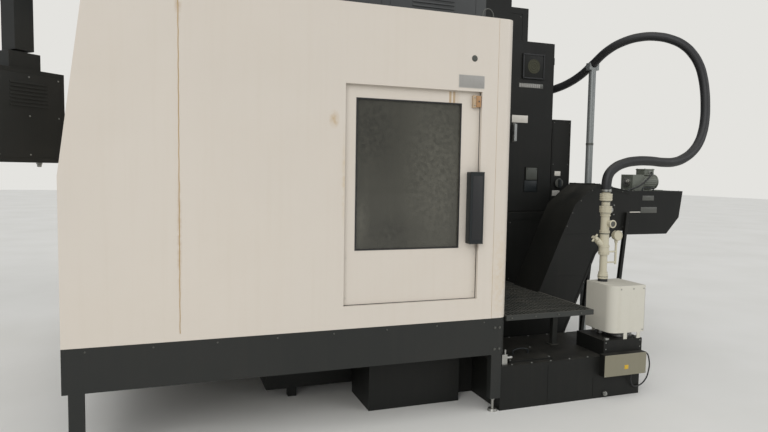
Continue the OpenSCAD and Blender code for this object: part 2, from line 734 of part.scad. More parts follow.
module riser_pipe() finish(CREAM) difference() {
    union() {
        along_z([riser_x, riser_y, cover_top + 20], riser_r, riser_top - cover_top - 20);
        along_z([riser_x, riser_y, cover_top + 20], 36, 26);
        along_z([riser_x, riser_y, cover_top + 46], 33, 22);
        // Lower valve body with its slanted branch
        along_z([riser_x, riser_y, valve_ring_z], valve_ring_r, 72);
        along_z([riser_x, riser_y, valve_ring_z + 72], 33, 86);
        translate([riser_x, riser_y, branch_z]) rotate([0, branch_a, 0]) cylinder(r = 22, h = 86);
        // Tee with a round port towards the viewer's side
        along_z([riser_x, riser_y, 1132], 34, 18);
        along_z([riser_x, riser_y, 1150], 31, 103);
        along_y([riser_x + 16, riser_y - 62, tee_port_z], 24, 62);
        // Union nut, flange and hose tail
        along_z([riser_x, riser_y, 1253], 33, 28);
        along_z([riser_x, riser_y, 1281], 42, 48);
        along_z([riser_x, riser_y, 1329], 30, 38);
        along_z([riser_x, riser_y, 1367], 42, 50);
        along_z([riser_x, riser_y, 1417], 30, riser_top - 1417);
    }
    along_z([riser_x, riser_y, cover_top], riser_r - 5, riser_top - cover_top + 1);
    along_y([riser_x + 16, riser_y - 63, tee_port_z], 17, 62);
    translate([riser_x, riser_y, branch_z]) rotate([0, branch_a, 0])
        translate([0, 0, 60]) cylinder(r = 8 + shaft_gap, h = 30);
}
module bypass_line() finish(STEEL) {
    line_x = 1032;
    low_from = riser_x + riser_r + slide_gap;
    high_from = riser_x + valve_ring_r + slide_gap;
    along_x([low_from, riser_y, 916], 6, line_x - low_from);
    along_x([high_from, riser_y, 994], 6, line_x - high_from);
    along_z([line_x, riser_y, 900], 8, 165);
    along_z([line_x, riser_y, 1060], 13, 20);
    translate([line_x, riser_y + 14, 1113]) rotate([90, 0, 0]) cylinder(r = 34, h = 28);
}
module sweep_tube(route, r, sides) {
    n = len(route);
    function way(i) = route[min(i + 1, n - 1)] - route[max(i - 1, 0)];
    function unit(v) = v / norm(v);
    // Each ring's side vector is the last one, squared up to the new direction
    function side(i) = i == 0 ? [0, 1, 0] : unit(cross(cross(unit(way(i)), side(i - 1)), unit(way(i))));
    rings = [for (i = [0:n - 1]) let (d = unit(way(i)), a = side(i), b = cross(d, a))
        for (k = [0:sides - 1]) route[i] + r * (a * cos(360 * k / sides) + b * sin(360 * k / sides))];
    walls = [for (i = [0:n - 2], k = [0:sides - 1])
        [i * sides + k, i * sides + (k + 1) % sides, (i + 1) * sides + (k + 1) % sides, (i + 1) * sides + k]];
    first = [for (k = [0:sides - 1]) sides - 1 - k];
    last = [for (k = [0:sides - 1]) (n - 1) * sides + k];
    polyhedron(points = rings, faces = concat(walls, [first, last]), convexity = 6);
}
module coolant_hose() finish(RUBBER) sweep_tube(hose_route, hose_r, 12);
module hose_post() finish(IRON) {
    block([post_x - 45, casing_y1 + 12, 0], [post_x + 35, casing_y1 + 115, 12]);
    block([post_x - 20, casing_y1, 1120], [post_x + 20, post_y, 1160]);
    // The post and its saddle, grooved for the hose that lies in it
    difference() {
        union() {
            along_z([post_x, post_y, 12], post_r, post_top - 12);
            translate([post_x - 50, post_y - 25, post_top - 20]) cube([100, 50, 60]);
        }
        rod([1475, 940, 2610], [1405, 1210, 2430], hose_r + 2.5);
    }
}

// Chip conveyor
module conveyor_casing() finish(CHARCOAL) {
    difference() {
        draw_y(conveyor_y, casing_y1) polygon(casing_outline);
        draw_y(conveyor_y + casing_t, casing_y1 - casing_t) polygon(casing_inside);
        block([-1400, conveyor_y + 20, casing_top_z - 20], [-60, casing_y1 - 20, casing_top_z + TOUCH]);
        along_y([shaft_x, conveyor_y - TOUCH, shaft_z], drive_r + shaft_gap, conveyor_w + 1);
    }
    for (x = [-1300, -400, 300], y = [conveyor_y, casing_y1 - 50])
        block([x, y, 0], [x + 60, y + 50, casing_low_z]);
    for (y = [conveyor_y - leg_t, casing_y1])
        draw_y(y, y + leg_t) polygon([[conveyor_foot_x, 0], [conveyor_foot_x + 29, 0],
            [conveyor_leg_x + 27, conveyor_leg_h], [conveyor_leg_x, conveyor_leg_h]]);
}
module conveyor_hood() finish(CHARCOAL) {
    difference() {
        draw_y(discharge_y0, discharge_y1) polygon([[discharge_x0, 1060], [discharge_x0 + 430, 1060],
            [discharge_x1 - 30, 1200], [discharge_x1, 1425], [discharge_x0, 1425]]);
        draw_y(discharge_y0 + casing_t, discharge_y1 - casing_t) polygon([[discharge_x0 - TOUCH, 1050],
            [discharge_x0 + 425, 1050], [discharge_x1 - 39, 1204], [discharge_x1 - 9, 1417],
            [discharge_x0 - TOUCH, 1417]]);
    }
    // Raised lid over the head and the chain guard on the far side
    draw_y(conveyor_y - 6, casing_y1 + 6)
        polygon([[1199, 1475], [1525, 1417.5], [1526, 1425], [1200, 1483]]);
    block([shaft_x - 90, casing_y1 + 8, shaft_z - 90], [conveyor_leg_x - 10, casing_y1 + 14, 1480]);
    for (z = [shaft_z - 70, shaft_z + 90])
        block([shaft_x - 80, casing_y1, z], [shaft_x - 60, casing_y1 + 8, z + 20]);
}
module conveyor_motor() finish(GREY) {
    block([1640, 740, 1425], [1940, 960, 1433]);
    block([1650, 780, 1433], [1770, 920, 1560]);
    along_x([1770, 850, 1500], 62, 150);
    along_x([1920, 850, 1500], 52, 14);
    block([1790, 800, 1558], [1890, 900, 1605]);
}
function arc(c, r, a0, a1) = [for (k = [0:loop_steps])
    c + r * [cos(a0 + (a1 - a0) * k / loop_steps), sin(a0 + (a1 - a0) * k / loop_steps)]];
function heading(a, b) = atan2(b[1] - a[1], b[0] - a[0]);
// The loop's outline at a distance r from its middle line: tail, bend, knee and head
module belt_area(r) {
    rise = heading(belt_bend, belt_knee);
    crest = heading(belt_knee, belt_head);
    inner_knee = belt_knee
        + r / cos((rise - crest) / 2) * [cos((rise + crest) / 2 - 90), sin((rise + crest) / 2 - 90)];
    inner_bend = belt_bend + r / cos(rise / 2) * [cos(rise / 2 + 90), sin(rise / 2 + 90)];
    polygon(concat(arc(belt_tail, r, 90, 270), arc(belt_bend, r, -90, rise - 90), [inner_knee],
        arc(belt_head, r, crest - 90, crest + 90), arc(belt_knee, r, crest + 90, rise + 90), [inner_bend]));
}
module conveyor_belt() finish(STEEL)
    draw_y(conveyor_y + casing_t + 10, casing_y1 - casing_t - 10) difference() {
        belt_area(belt_r);
        belt_area(belt_r - belt_t);
    }
module conveyor_shaft() finish(STEEL) {
    along_y([shaft_x, conveyor_y - 20, shaft_z], drive_r, conveyor_w + 25);
    for (y = [conveyor_y + 40, casing_y1 - 60]) along_y([shaft_x, y, shaft_z], sprocket_r, 20);
}
module terminal_box() finish(GREY) difference() {
    block([749, low_y, 163], [1105, tank_y0, 315]);
    block([753, low_y + 4, 167], [1101, tank_y0 + TOUCH, 311]);
}
module tank_fittings() finish(STEEL) {
    difference() {
        along_y([drain_x, tank_y0 - 14, 30], 16, 14);
        along_y([drain_x, tank_y0 - 15, 30], 7, 6);
    }
    block([-12, 30, lid_top], [28, 60, lid_top + 70]);
    along_x([28, 45, lid_top + 45], 10, 40);
    along_z([18, 45, lid_top + 69], 7, 31);
}

// Step platform
module platform_frame() finish(CHARCOAL) {
    z0 = platform_top - platform_band;
    difference() {
        block([0, 10, z0], [platform_len, return_len - 10, platform_top]);
        block([6, 16, z0 - TOUCH], [platform_len - platform_edge, return_len - 16, platform_top + TOUCH]);
        // The conveyor's slope passes the rear edge here
        block([platform_len - platform_edge - TOUCH, conveyor_y - pass_gap, z0 - TOUCH],
            [platform_len + TOUCH, casing_y1 + pass_gap, platform_top + TOUCH]);
    }
    for (y = [200, 700]) block([6, y, z0], [platform_len - platform_edge, y + 30, z0 + 6]);
    block([platform_leg_x, 350, lid_top], [platform_leg_x + 40, 390, z0]);
    block([platform_leg_x, 1090, 0], [platform_leg_x + 40, 1130, z0]);
    block([platform_leg_x, 350, z0], [platform_leg_x + 40, 1130, z0 + 4]);
}
module platform_grating() finish(CHARCOAL) {
    z0 = platform_top - platform_band + 7;
    x1 = platform_len - platform_edge - 1;
    for (x = [7:grate_pitch:x1 - grate_t]) block([x, 17, z0], [x + grate_t, return_len - 17, platform_top]);
    for (y = [17:3 * grate_pitch:return_len - 30]) block([7, y, z0 + 4], [x1, y + grate_t, platform_top]);
}

// Work area
module column() finish(IRON) difference() {
    union() {
        difference() {
            block([column_off, work_y - column_w / 2, column_rail_top + slide_gap],
                [column_off + column_d, work_y + column_w / 2, column_rail_top + column_h]);
            block([column_off - TOUCH, work_y - column_open / 2, column_rail_top + 130],
                [column_off + column_d + TOUCH, work_y + column_open / 2,
                 column_rail_top + column_h - 220]);
        }
        for (s = [-1, 1]) block([column_off - head_guide_t, work_y + s * (column_w / 2 - 75) - 25,
            column_rail_top + 100], [column_off, work_y + s * (column_w / 2 - 75) + 25,
            column_rail_top + column_h - 100]);
        for (n = [0, 1], s = [-1, 1]) block([column_rail_x(n) - 20, work_y + s * 240 - 90,
            column_bed_top + 6], [column_rail_x(n) + rail_w + 20, work_y + s * 240 + 90,
            column_rail_top + 10]);
    }
    for (n = [0, 1]) block([column_rail_x(n) - slide_gap, work_y - column_w, column_bed_top],
        [column_rail_x(n) + rail_w + slide_gap, work_y + column_w, column_rail_top + slide_gap]);
}
module spindle_head() finish(IRON) difference() {
    union() {
        block([head_front, work_y - head_w / 2, spindle_z - head_h / 2],
            [head_back, work_y + head_w / 2, spindle_z + head_h / 2]);
        block([60, work_y - column_w / 2 + 20, spindle_z - head_h / 2],
            [column_off - head_guide_t - slide_gap, work_y + column_w / 2 - 20,
             spindle_z + head_h / 2]);
        along_x([head_back, work_y, spindle_z], 110, 60);
    }
    along_x([head_front - 1, work_y, spindle_z], spindle_r + shaft_gap, 400);
}
module spindle() finish(STEEL) difference() {
    union() {
        along_x([nose_x + 40, work_y, spindle_z], spindle_r, 380);
        along_x([nose_x, work_y, spindle_z], spindle_r + 18, 45);
    }
    translate([nose_x - TOUCH, work_y, spindle_z]) rotate([0, 90, 0])
        cylinder(r1 = 31.5, r2 = 18, h = 95);
    for (s = [-1, 1]) block([nose_x - TOUCH, work_y - 8, spindle_z + s * 47 - 12],
        [nose_x + 12, work_y + 8, spindle_z + s * 47 + 12]);
}
module table_saddle() finish(IRON) difference() {
    union() {
        block([table_x - saddle_w / 2, work_y - saddle_w / 2, table_rail_top + slide_gap],
            [table_x + saddle_w / 2, work_y + saddle_w / 2, saddle_top]);
        for (s = [-1, 1], t = [-1, 1]) block([table_x + t * 180 - 60, work_y + s * table_rail_off - 45,
            bed_top + 5], [table_x + t * 180 + 60, work_y + s * table_rail_off + 45, table_rail_top + 5]);
    }
    for (s = [-1, 1]) block([table_x - saddle_w, work_y + s * table_rail_off - rail_w / 2 - slide_gap,
        bed_top], [table_x + saddle_w, work_y + s * table_rail_off + rail_w / 2 + slide_gap,
        table_rail_top + slide_gap]);
    along_z([table_x, work_y, saddle_top - 60], 100 + shaft_gap, 61);
}
module rotary_table() finish(IRON) {
    along_z([table_x, work_y, saddle_top + slide_gap], table_r, pallet_low - saddle_top - slide_gap);
    along_z([table_x, work_y, saddle_top - 55], 100, 60);
}
module pallet(x, low) difference() {
    union() {
        block([x - pallet_w / 2, work_y - pallet_w / 2, low + 12],
            [x + pallet_w / 2, work_y + pallet_w / 2, low + pallet_t]);
        block([x - pallet_w / 2 + 10, work_y - pallet_w / 2, low], [x + pallet_w / 2 - 10,
            work_y + pallet_w / 2, low + 12]);
    }
    for (i = [-1.5:1.5], j = [-1.5:1.5])
        along_z([x + i * pallet_pitch, work_y + j * pallet_pitch, low + pallet_t - 35], pallet_hole_r, 36);
    along_z([x, work_y, low - 1], pallet_bore_r, pallet_t + 2);
}
module work_pallet() finish(STEEL) pallet(table_x, pallet_low);
module setup_pallet() finish(STEEL) pallet(changer_x - changer_r, prong_top);
module changer_shaft() finish(STEEL)
    along_z([changer_x, work_y, bed_bottom + 10], changer_shaft_r, prong_top - prong_h - 40 - bed_bottom);
module changer_arm() finish(IRON) {
    low = prong_top - prong_h;
    // Bearing drum that the arm turns on
    along_z([changer_x, work_y, low - 30 + slide_gap], 130, 30 - slide_gap);
    block([changer_x - 250, work_y - prong_in, low], [changer_x + 250, work_y + prong_in, prong_top]);
    for (s = [-1, 1])
        block([changer_x - prong_len, min(s * prong_in, s * (prong_in + prong_w)) + work_y, low],
            [changer_x + prong_len, max(s * prong_in, s * (prong_in + prong_w)) + work_y, prong_top]);
    // Divider wall that turns with the arm
    block([changer_x - 6, work_y - 760, prong_top + 20], [changer_x + 6, work_y + 760, 2230]);
    for (s = [-1, 1]) draw_y(work_y + s * 150 - 5, work_y + s * 150 + 5)
        polygon([[changer_x - 100, prong_top], [changer_x + 100, prong_top], [changer_x, 1400]]);
    block([changer_x - 6, work_y - prong_in, prong_top - 1],
        [changer_x + 6, work_y + prong_in, prong_top + 20]);
}
module magazine_stand() finish(IRON) {
    block([-18, magazine_y - 60, 300], [100, magazine_y + 60, magazine_z + 60]);
    block([20, change_y + 20, magazine_z - 60], [100, magazine_y + 60, magazine_z + 60]);
    block([0, change_y + 20, magazine_z - 60], [21, change_y + 60, magazine_z + 60]);
    along_x([-150, magazine_y, magazine_z], 50, 140);
    along_x([-245, magazine_y, magazine_z], 30, 100);
    difference() {
        block([change_x + 50, change_y - 60, magazine_z - 60], [20, change_y + 60, magazine_z + 60]);
        along_x([change_x + 49, change_y, magazine_z], 30 + shaft_gap, 120);
    }
}
module magazine_wheel() finish(STEEL) difference() {
    union() {
        along_x([-230, magazine_y, magazine_z], magazine_r - 25, 20);
        for (n = [0:pot_n - 1]) translate([0, magazine_y, magazine_z]) rotate([360 / pot_n * n, 0, 0])
            translate([-230, -magazine_r, 0]) rotate([0, 90, 0]) cylinder(r = pot_r, h = 75);
        along_x([-230, magazine_y, magazine_z], 70, 60);
    }
    along_x([-231, magazine_y, magazine_z], 30 + shaft_gap, 100);
    for (n = [0:pot_n - 1]) translate([0, magazine_y, magazine_z]) rotate([360 / pot_n * n, 0, 0])
        translate([-231, -magazine_r, 0]) rotate([0, 90, 0]) cylinder(r1 = 24, r2 = 16, h = 60);
}
module change_arm() finish(STEEL) {
    along_x([change_x, change_y, magazine_z], 30, 150);
    difference() {
        union() {
            along_x([change_x, change_y, magazine_z], 60, 40);
            block([change_x, change_y - 35, magazine_z - change_r + 10],
                [change_x + 40, change_y + 35, magazine_z + change_r - 10]);
            for (s = [-1, 1]) along_x([change_x, change_y, magazine_z + s * change_r], 55, 40);
        }
        for (s = [-1, 1]) {
            along_x([change_x - 1, change_y, magazine_z + s * change_r], 38, 42);
            block([change_x - 1, min(0, s * 60) + change_y, magazine_z + s * change_r - 36],
                [change_x + 41, max(0, s * 60) + change_y, magazine_z + s * change_r + 36]);
        }
    }
}

// Doors
module door_hanger(x) {
    back = door_y + door_t;
    block([x, back, door_z1 - 60], [x + 80, back + lip_t, door_rail_z + rail_s + rail_gap + lip_t]);
    block([x, door_rail_y + 1, door_rail_z + rail_s + rail_gap],
        [x + 80, back, door_rail_z + rail_s + rail_gap + lip_t]);
    block([x, back, door_guide_z + 2], [x + 80, back + lip_t, door_sill + 40]);
}
module side_door() finish(WHITE) {
    difference() {
        block([door_x0 - door_lap, door_y, door_sill - door_lap],
            [door_x1 + door_lap, door_y + door_t, door_z1 + door_lap]);
        block([window_x0, door_y - TOUCH, window_z0],
            [window_x0 + window_w, door_y + door_t + TOUCH, window_z0 + window_h]);
        block([window_x0 - 15, door_y + 8, window_z0 - 15],
            [window_x0 + window_w + 15, door_y + door_t + TOUCH, window_z0 + window_h + 15]);
    }
    for (x = [door_x0 + 40, door_x1 - 120]) door_hanger(x);
}
module side_door_window() finish(GLASS) block([window_x0 - 14, door_y + 8, window_z0 - 14],
    [window_x0 + window_w + 14, door_y + 8 + glass_t, window_z0 + window_h + 14]);
module side_door_handle() finish(RUBBER) {
    block([handle_x0 + 12, door_y - 8, handle_low], [door_x1 - 3, door_y, handle_low + handle_h]);
    block([handle_x0, -handle_out, handle_low], [handle_x0 + 18, door_y - 8, handle_low + handle_h]);
    block([handle_x0, -handle_out, handle_low], [handle_x1, -handle_out + 10, handle_low + handle_h]);
}
module loading_door() finish(WHITE) {
    d0 = front_t + load_gap;
    difference() {
        draw_y(load_y0 - load_lap, load_y1 + load_lap)
            front_band(load_low - load_lap, load_top + load_lap, d0, d0 + load_t);
        draw_y(load_y0 + 130, load_y1 - 130) front_band(1250, 2000, d0 - TOUCH, d0 + load_t + TOUCH);
    }
    rail_x = front_x(load_rail_z) + d0 + (load_t - rail_s) / 2;
    for (y = [load_y0 + 60, load_y1 - 140]) {
        block([front_x(load_top) + d0 + load_t - 8, y, load_top - 40],
            [rail_x + rail_s + rail_gap + 18, y + 80, load_top + load_lap]);
        block([rail_x + rail_s + rail_gap, y, load_top + load_lap - 10],
            [rail_x + rail_s + rail_gap + 18, y + 80, load_rail_z + rail_s + rail_gap + lip_t]);
        block([rail_x + 1, y, load_rail_z + rail_s + rail_gap],
            [rail_x + rail_s + rail_gap + 18, y + 80, load_rail_z + rail_s + rail_gap + lip_t]);
        block([front_x(0) + d0 + load_t + rail_gap, y, load_low - load_lap - 20],
            [front_x(0) + d0 + load_t + rail_gap + lip_t, y + 80, load_low + 20]);
        block([front_x(0) + d0 + load_t - 2, y, load_low - load_lap + 5],
            [front_x(0) + d0 + load_t + rail_gap + 1, y + 80, load_low + 20]);
    }
    // Pull handle on two posts
    handle_y = load_y0 + 20;
    block([front_x(0) - 30, handle_y, 1150], [front_x(0) - 12, handle_y + 28, 1450]);
    for (z = [1160, 1415])
        block([front_x(0) - 12, handle_y + 4, z], [front_x(0) + d0 + 1, handle_y + 24, z + 25]);
}
module loading_door_window() finish(GLASS) draw_y(load_y0 + 130, load_y1 - 130)
    front_band(1250, 2000, front_t + load_gap + 12, front_t + load_gap + 12 + glass_t);

module cabinet_door() finish(BLACK) {
    difference() {
        block([cabinet_door_x0, cabinet_y, cabinet_door_z0],
            [cabinet_door_x1, cabinet_y + cabinet_door_t, cabinet_door_z1]);
        // Filter fan opening, cable flap recess and latch spindle bore
        along_y([fan_x, cabinet_y - TOUCH, fan_z], fan_r + 8, cabinet_door_t + 1);
        block([flap_x0, cabinet_y - TOUCH, flap_z0], [flap_x0 + 140, cabinet_y + 10, flap_z0 + 216]);
        along_y([latch_x, cabinet_y - TOUCH, latch_z], 9 + shaft_gap, cabinet_door_t + 1);
    }
    // Grille bars over the fan, and the motor hub that they carry
    for (n = [-3:3]) block([fan_x - fan_w / 2, cabinet_y - 8, fan_z + n * 26 - 4],
        [fan_x + fan_w / 2, cabinet_y, fan_z + n * 26 + 4]);
    difference() {
        block([fan_x - fan_w / 2, cabinet_y - 8, fan_z - fan_w / 2],
            [fan_x + fan_w / 2, cabinet_y, fan_z + fan_w / 2]);
        block([fan_x - fan_w / 2 + 14, cabinet_y - 9, fan_z - fan_w / 2 + 14],
            [fan_x + fan_w / 2 - 14, cabinet_y + 1, fan_z + fan_w / 2 - 14]);
    }
    block([fan_x - 6, cabinet_y, fan_z - fan_r - 9], [fan_x + 6, cabinet_y + 6, fan_z + fan_r + 9]);
    along_y([fan_x, cabinet_y, fan_z], 22, 20);
    along_y([fan_x, cabinet_y + 19, fan_z], 5, 30);
    for (z = [1400, 1950, 2500]) along_z([hinge_x, hinge_y, z], hinge_r, 60);
}
module cabinet_latch() finish(GREY) {
    along_y([latch_x, cabinet_y - 14, latch_z], 9, cabinet_door_t + 24);
    block([latch_x - 12, cabinet_y - 26, latch_z - 73], [latch_x + 12, cabinet_y - 12, latch_z + 72]);
    block([latch_x - 36, cabinet_y + cabinet_door_t + 2, latch_z - 9],
        [latch_x + 9, cabinet_y + cabinet_door_t + 10, latch_z + 9]);
}
module cabinet_fan() finish(RUBBER) difference() {
    union() {
        along_y([fan_x, cabinet_y + 22, fan_z], 30, 24);
        for (n = [0:6]) translate([fan_x, cabinet_y + 34, fan_z]) rotate([0, n * 360 / 7, 0])
            translate([26, -1.5, -16]) rotate([25, 0, 0]) cube([fan_r - 28, 3, 32]);
    }
    along_y([fan_x, cabinet_y + 18, fan_z], 5 + shaft_gap, 40);
}
module main_switch() finish(RUBBER) {
    along_y([switch_x, cabinet_y - 12, switch_z], 8, 40);
    along_y([switch_x, cabinet_y - 14, switch_z], 34, 13.5);
    block([switch_x - 10, cabinet_y - 36, switch_z - 34], [switch_x + 10, cabinet_y - 12, switch_z + 34]);
}
module valve_knob() finish(CREAM) translate([riser_x, riser_y, branch_z]) rotate([0, branch_a, 0]) {
    translate([0, 0, 62]) cylinder(r = 8, h = 40);
    translate([0, 0, 87]) cylinder(r = 17, h = 14);
    translate([-10, -24, 98]) cube([20, 48, 22]);
}

// Operator pendant
module pendant_post() finish(BLACK) {
    along_z([post_px, post_py, panel_top], 90, 14);
    along_z([post_px, post_py, panel_top], 60, arm_z0 - panel_top - slide_gap);
    along_z([post_px, post_py, arm_z0 - slide_gap - 1], pivot_r, arm_z1 - arm_z0 - 20);
}
module pendant_arm() finish(BLACK) {
    reach = norm([pendant_x - post_px, pendant_y - post_py]);
    turn = atan2(pendant_y - post_py, pendant_x - post_px);
    translate([post_px, post_py, 0]) rotate([0, 0, turn]) difference() {
        union() {
            translate([0, 0, arm_z0]) cylinder(r = 75, h = arm_z1 - arm_z0);
            block([0, -tube_w / 2, arm_z0], [reach, tube_w / 2, arm_z1]);
            // Square drop tube, turned to stand square to the pendant
            translate([reach, 0, tube_low]) rotate([0, 0, pendant_a - turn])
                translate([-tube_w / 2, -tube_w / 2, 0]) cube([tube_w, tube_w, arm_z1 - tube_low]);
            draw_y(-20, 20) polygon([[reach - 30, 2620], [reach - 30, 2720], [reach - 240, arm_z0 + 1],
                [reach - 340, arm_z0 + 1]]);
        }
        translate([0, 0, arm_z0 - 1]) cylinder(r = pivot_r + shaft_gap, h = 82);
        translate([reach, 0, tube_low - 1]) cylinder(r = neck_r + shaft_gap, h = 31);
        translate([reach, 0, tube_low + 20]) cylinder(r = 50, h = 300);
    }
}
module pendant_frame() translate([pendant_x, pendant_y, 0]) rotate([0, 0, pendant_a]) children();
module pendant_box() finish(BLACK) pendant_frame() {
    difference() {
        union() {
            block([-pendant_w / 2, -pendant_d / 2, pendant_low], [pendant_w / 2, pendant_d / 2, pendant_top]);
            block([-100, -60, pendant_top - 1], [100, 60, pendant_top + bracket_h]);
        }
        block([-pendant_w / 2 + wall_p, -pendant_d / 2 + wall_p, pendant_low + wall_p],
            [pendant_w / 2 - wall_p, pendant_d / 2 - wall_p, pendant_top - wall_p]);
        block([-170, pendant_d / 2 - 4, pendant_low + 220], [170, pendant_d / 2 + 1, pendant_top - 60]);
        for (x = button_x) along_y([x, pendant_d / 2 - wall_p - 1, button_z], 10 + shaft_gap, wall_p + 2);
    }
    cylinder_low = pendant_top + bracket_h;
    along_z([0, 0, cylinder_low - 1], neck_r, 12 + 1 + 20 + 8);
    along_z([0, 0, cylinder_low + 12 + 20 + slide_gap], 46, 10);
}
module push_button(x, cap_r) pendant_frame() {
    face = pendant_d / 2;
    along_y([x, face + button_travel + 1, button_z], cap_r, 14);
    along_y([x, face - wall_p - 12, button_z], 10, wall_p + 12 + button_travel + 2);
    along_y([x, face - wall_p - 14, button_z], 13, 6);
}
module emergency_stop() finish("#b8322a") push_button(button_x[0], button_r + 7);
module start_button() finish("#4b8a4e") push_button(button_x[1], button_r);
module feed_knob() finish(RUBBER) pendant_frame() {
    face = pendant_d / 2;
    along_y([button_x[2], face + 1, button_z], 22, 20);
    along_y([button_x[2], face - wall_p - 8, button_z], 10, wall_p + 10);
    along_y([button_x[2], face - wall_p - 10, button_z], 13, 6);
    block([button_x[2] - 3, face + 20, button_z - 20], [button_x[2] + 3, face + 27, button_z + 20]);
}

bed_casting();
levelling_feet();
base_skirt();
side_panel();
corner_post();
far_side_panel();
front_panel();
upper_housing();
rear_housing();
chamber_floor();
guide_rails();
electrical_cabinet();
cabinet_backplate();
switch_box();
coolant_tank();
tank_lid();
pump_housing();
coolant_pump();
riser_pipe();
bypass_line();
riser_coupling();
coolant_hose();
hose_post();
conveyor_casing();
conveyor_hood();
conveyor_motor();
conveyor_belt();
terminal_box();
tank_fittings();
platform_frame();
platform_grating();
magazine_stand();
pendant_post();
side_door();
side_door_window();
side_door_handle();
loading_door();
loading_door_window();
column();
spindle_head();
spindle();
table_saddle();
rotary_table();
work_pallet();
changer_shaft();
changer_arm();
setup_pallet();
magazine_wheel();
change_arm();
cabinet_door();
cabinet_latch();
cabinet_fan();
main_switch();
valve_knob();
conveyor_shaft();
pendant_arm();
pendant_box();
emergency_stop();
start_button();
feed_knob();
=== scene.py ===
import json
from math import cos, hypot, radians, sin

import bpy
from mathutils import Matrix, Vector


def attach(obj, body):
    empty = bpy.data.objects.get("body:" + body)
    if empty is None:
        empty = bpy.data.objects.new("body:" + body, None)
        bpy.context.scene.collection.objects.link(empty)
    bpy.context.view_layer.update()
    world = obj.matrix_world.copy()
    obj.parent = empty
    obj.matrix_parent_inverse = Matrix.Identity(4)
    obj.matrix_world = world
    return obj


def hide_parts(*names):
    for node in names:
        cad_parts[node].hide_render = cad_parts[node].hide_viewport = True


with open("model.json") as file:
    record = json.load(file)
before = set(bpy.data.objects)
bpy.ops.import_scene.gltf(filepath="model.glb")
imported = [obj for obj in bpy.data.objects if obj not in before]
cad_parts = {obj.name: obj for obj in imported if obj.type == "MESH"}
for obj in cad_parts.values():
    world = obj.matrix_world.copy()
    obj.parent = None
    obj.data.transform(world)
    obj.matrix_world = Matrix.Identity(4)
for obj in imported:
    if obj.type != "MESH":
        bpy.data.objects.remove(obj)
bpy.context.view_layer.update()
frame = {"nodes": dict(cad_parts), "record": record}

NODES = frame["nodes"]
BODY_OF = {node: body for body, nodes in frame["record"]["behaviour"]["bodies"].items() for node in nodes}
SLOT_OF = {part["node"]: part["material_slot"] for part in frame["record"]["subparts"]}

# The middle of the object's length and width, in the machine's own millimetres
MIDDLE_X, MIDDLE_Y = -505.9, 1725
# Directions: NEAR is towards the photographed side, FAR away from it
UP, DOWN = (0, 0, 1), (0, 0, -1)
NEAR, FAR = (0, -1, 0), (0, 1, 0)
FRONT, REAR = (-1, 0, 0), (1, 0, 0)


def mm(x, y, z):
    """A place given in the machine's own millimetres: x to the rear, y to the far side, z up."""
    return Vector(((x - MIDDLE_X) / 1000, (y - MIDDLE_Y) / 1000, z / 1000))


def link(item):
    bpy.context.scene.collection.objects.link(item)


# Viewpoint and light

EYE = (-1.5961, -5.168, 1.55)
HEADING, PITCH, ROLL = 19.81, 4.10, 0.95
SENSOR_WIDTH, FOCAL_LENGTH = 36, 28.99
LAMP_AIM = Vector((0.2, -0.8, 1.2))


def set_viewpoint():
    yaw, pitch, roll = (radians(angle) for angle in (HEADING, PITCH, ROLL))
    ahead = Vector((sin(yaw) * cos(pitch), cos(yaw) * cos(pitch), -sin(pitch)))
    level = Vector((cos(yaw), -sin(yaw), 0))
    rise = level.cross(ahead)
    right = cos(roll) * level + sin(roll) * rise
    up = cos(roll) * rise - sin(roll) * level
    lens = bpy.data.cameras.new("viewpoint")
    lens.sensor_width = SENSOR_WIDTH
    lens.lens = FOCAL_LENGTH
    camera = bpy.data.objects.new("viewpoint", lens)
    link(camera)
    turn = Matrix((right, up, -ahead)).transposed().to_4x4()
    camera.matrix_world = Matrix.Translation(EYE) @ turn
    bpy.context.scene.camera = camera


def set_lamp(name, place, spread, power):
    """A far, wide and even lamp that shines from its place towards the machine's middle."""
    lamp = bpy.data.lights.new(name, "SUN")
    lamp.angle = radians(spread)
    lamp.energy = power
    holder = bpy.data.objects.new(name, lamp)
    link(holder)
    aim = LAMP_AIM - Vector(place)
    holder.matrix_world = Matrix.Translation(place) @ aim.to_track_quat("-Z", "Y").to_matrix().to_4x4()


# Shader building

def linear(code):
    """A colour written as #rrggbb, for a colour socket."""
    parts = [int(code[i:i + 2], 16) / 255 for i in (1, 3, 5)]
    return [c / 12.92 if c <= 0.04045 else ((c + 0.055) / 1.055) ** 2.4 for c in parts] + [1]


def add(tree, kind, sockets=None, **settings):
    """A shader node whose sockets get a link, a colour code or a plain value each."""
    node = tree.nodes.new("ShaderNode" + kind)
    for key, value in settings.items():
        setattr(node, key, value)
    for socket, value in (sockets or {}).items():
        if isinstance(value, bpy.types.NodeSocket):
            tree.links.new(value, node.inputs[socket])
        else:
            node.inputs[socket].default_value = linear(value) if isinstance(value, str) else value
    return node


def times(tree, a, b, clamp=False):
    return add(tree, "Math", {0: a, 1: b}, operation="MULTIPLY", use_clamp=clamp).outputs[0]


def plus(tree, a, b, clamp=False):
    return add(tree, "Math", {0: a, 1: b}, operation="ADD", use_clamp=clamp).outputs[0]


def blend(tree, share, a, b, how="MIX"):
    return add(tree, "Mix", {0: share, 6: a, 7: b}, data_type="RGBA", blend_type=how).outputs[2]


def on_object(tree):
    return add(tree, "TexCoord").outputs["Object"]


def grain(tree, scale, detail, stretch=None):
    place = on_object(tree)
    if stretch:
        place = add(tree, "Mapping", {"Vector": place, "Scale": stretch}).outputs[0]
    return add(tree, "TexNoise", {"Vector": place, "Scale": scale, "Detail": detail}).outputs["Fac"]


def band(tree, value, low, high, out_low=0.0, out_high=1.0):
    return add(tree, "MapRange", {"Value": value, "From Min": low, "From Max": high,
        "To Min": out_low, "To Max": out_high}).outputs[0]


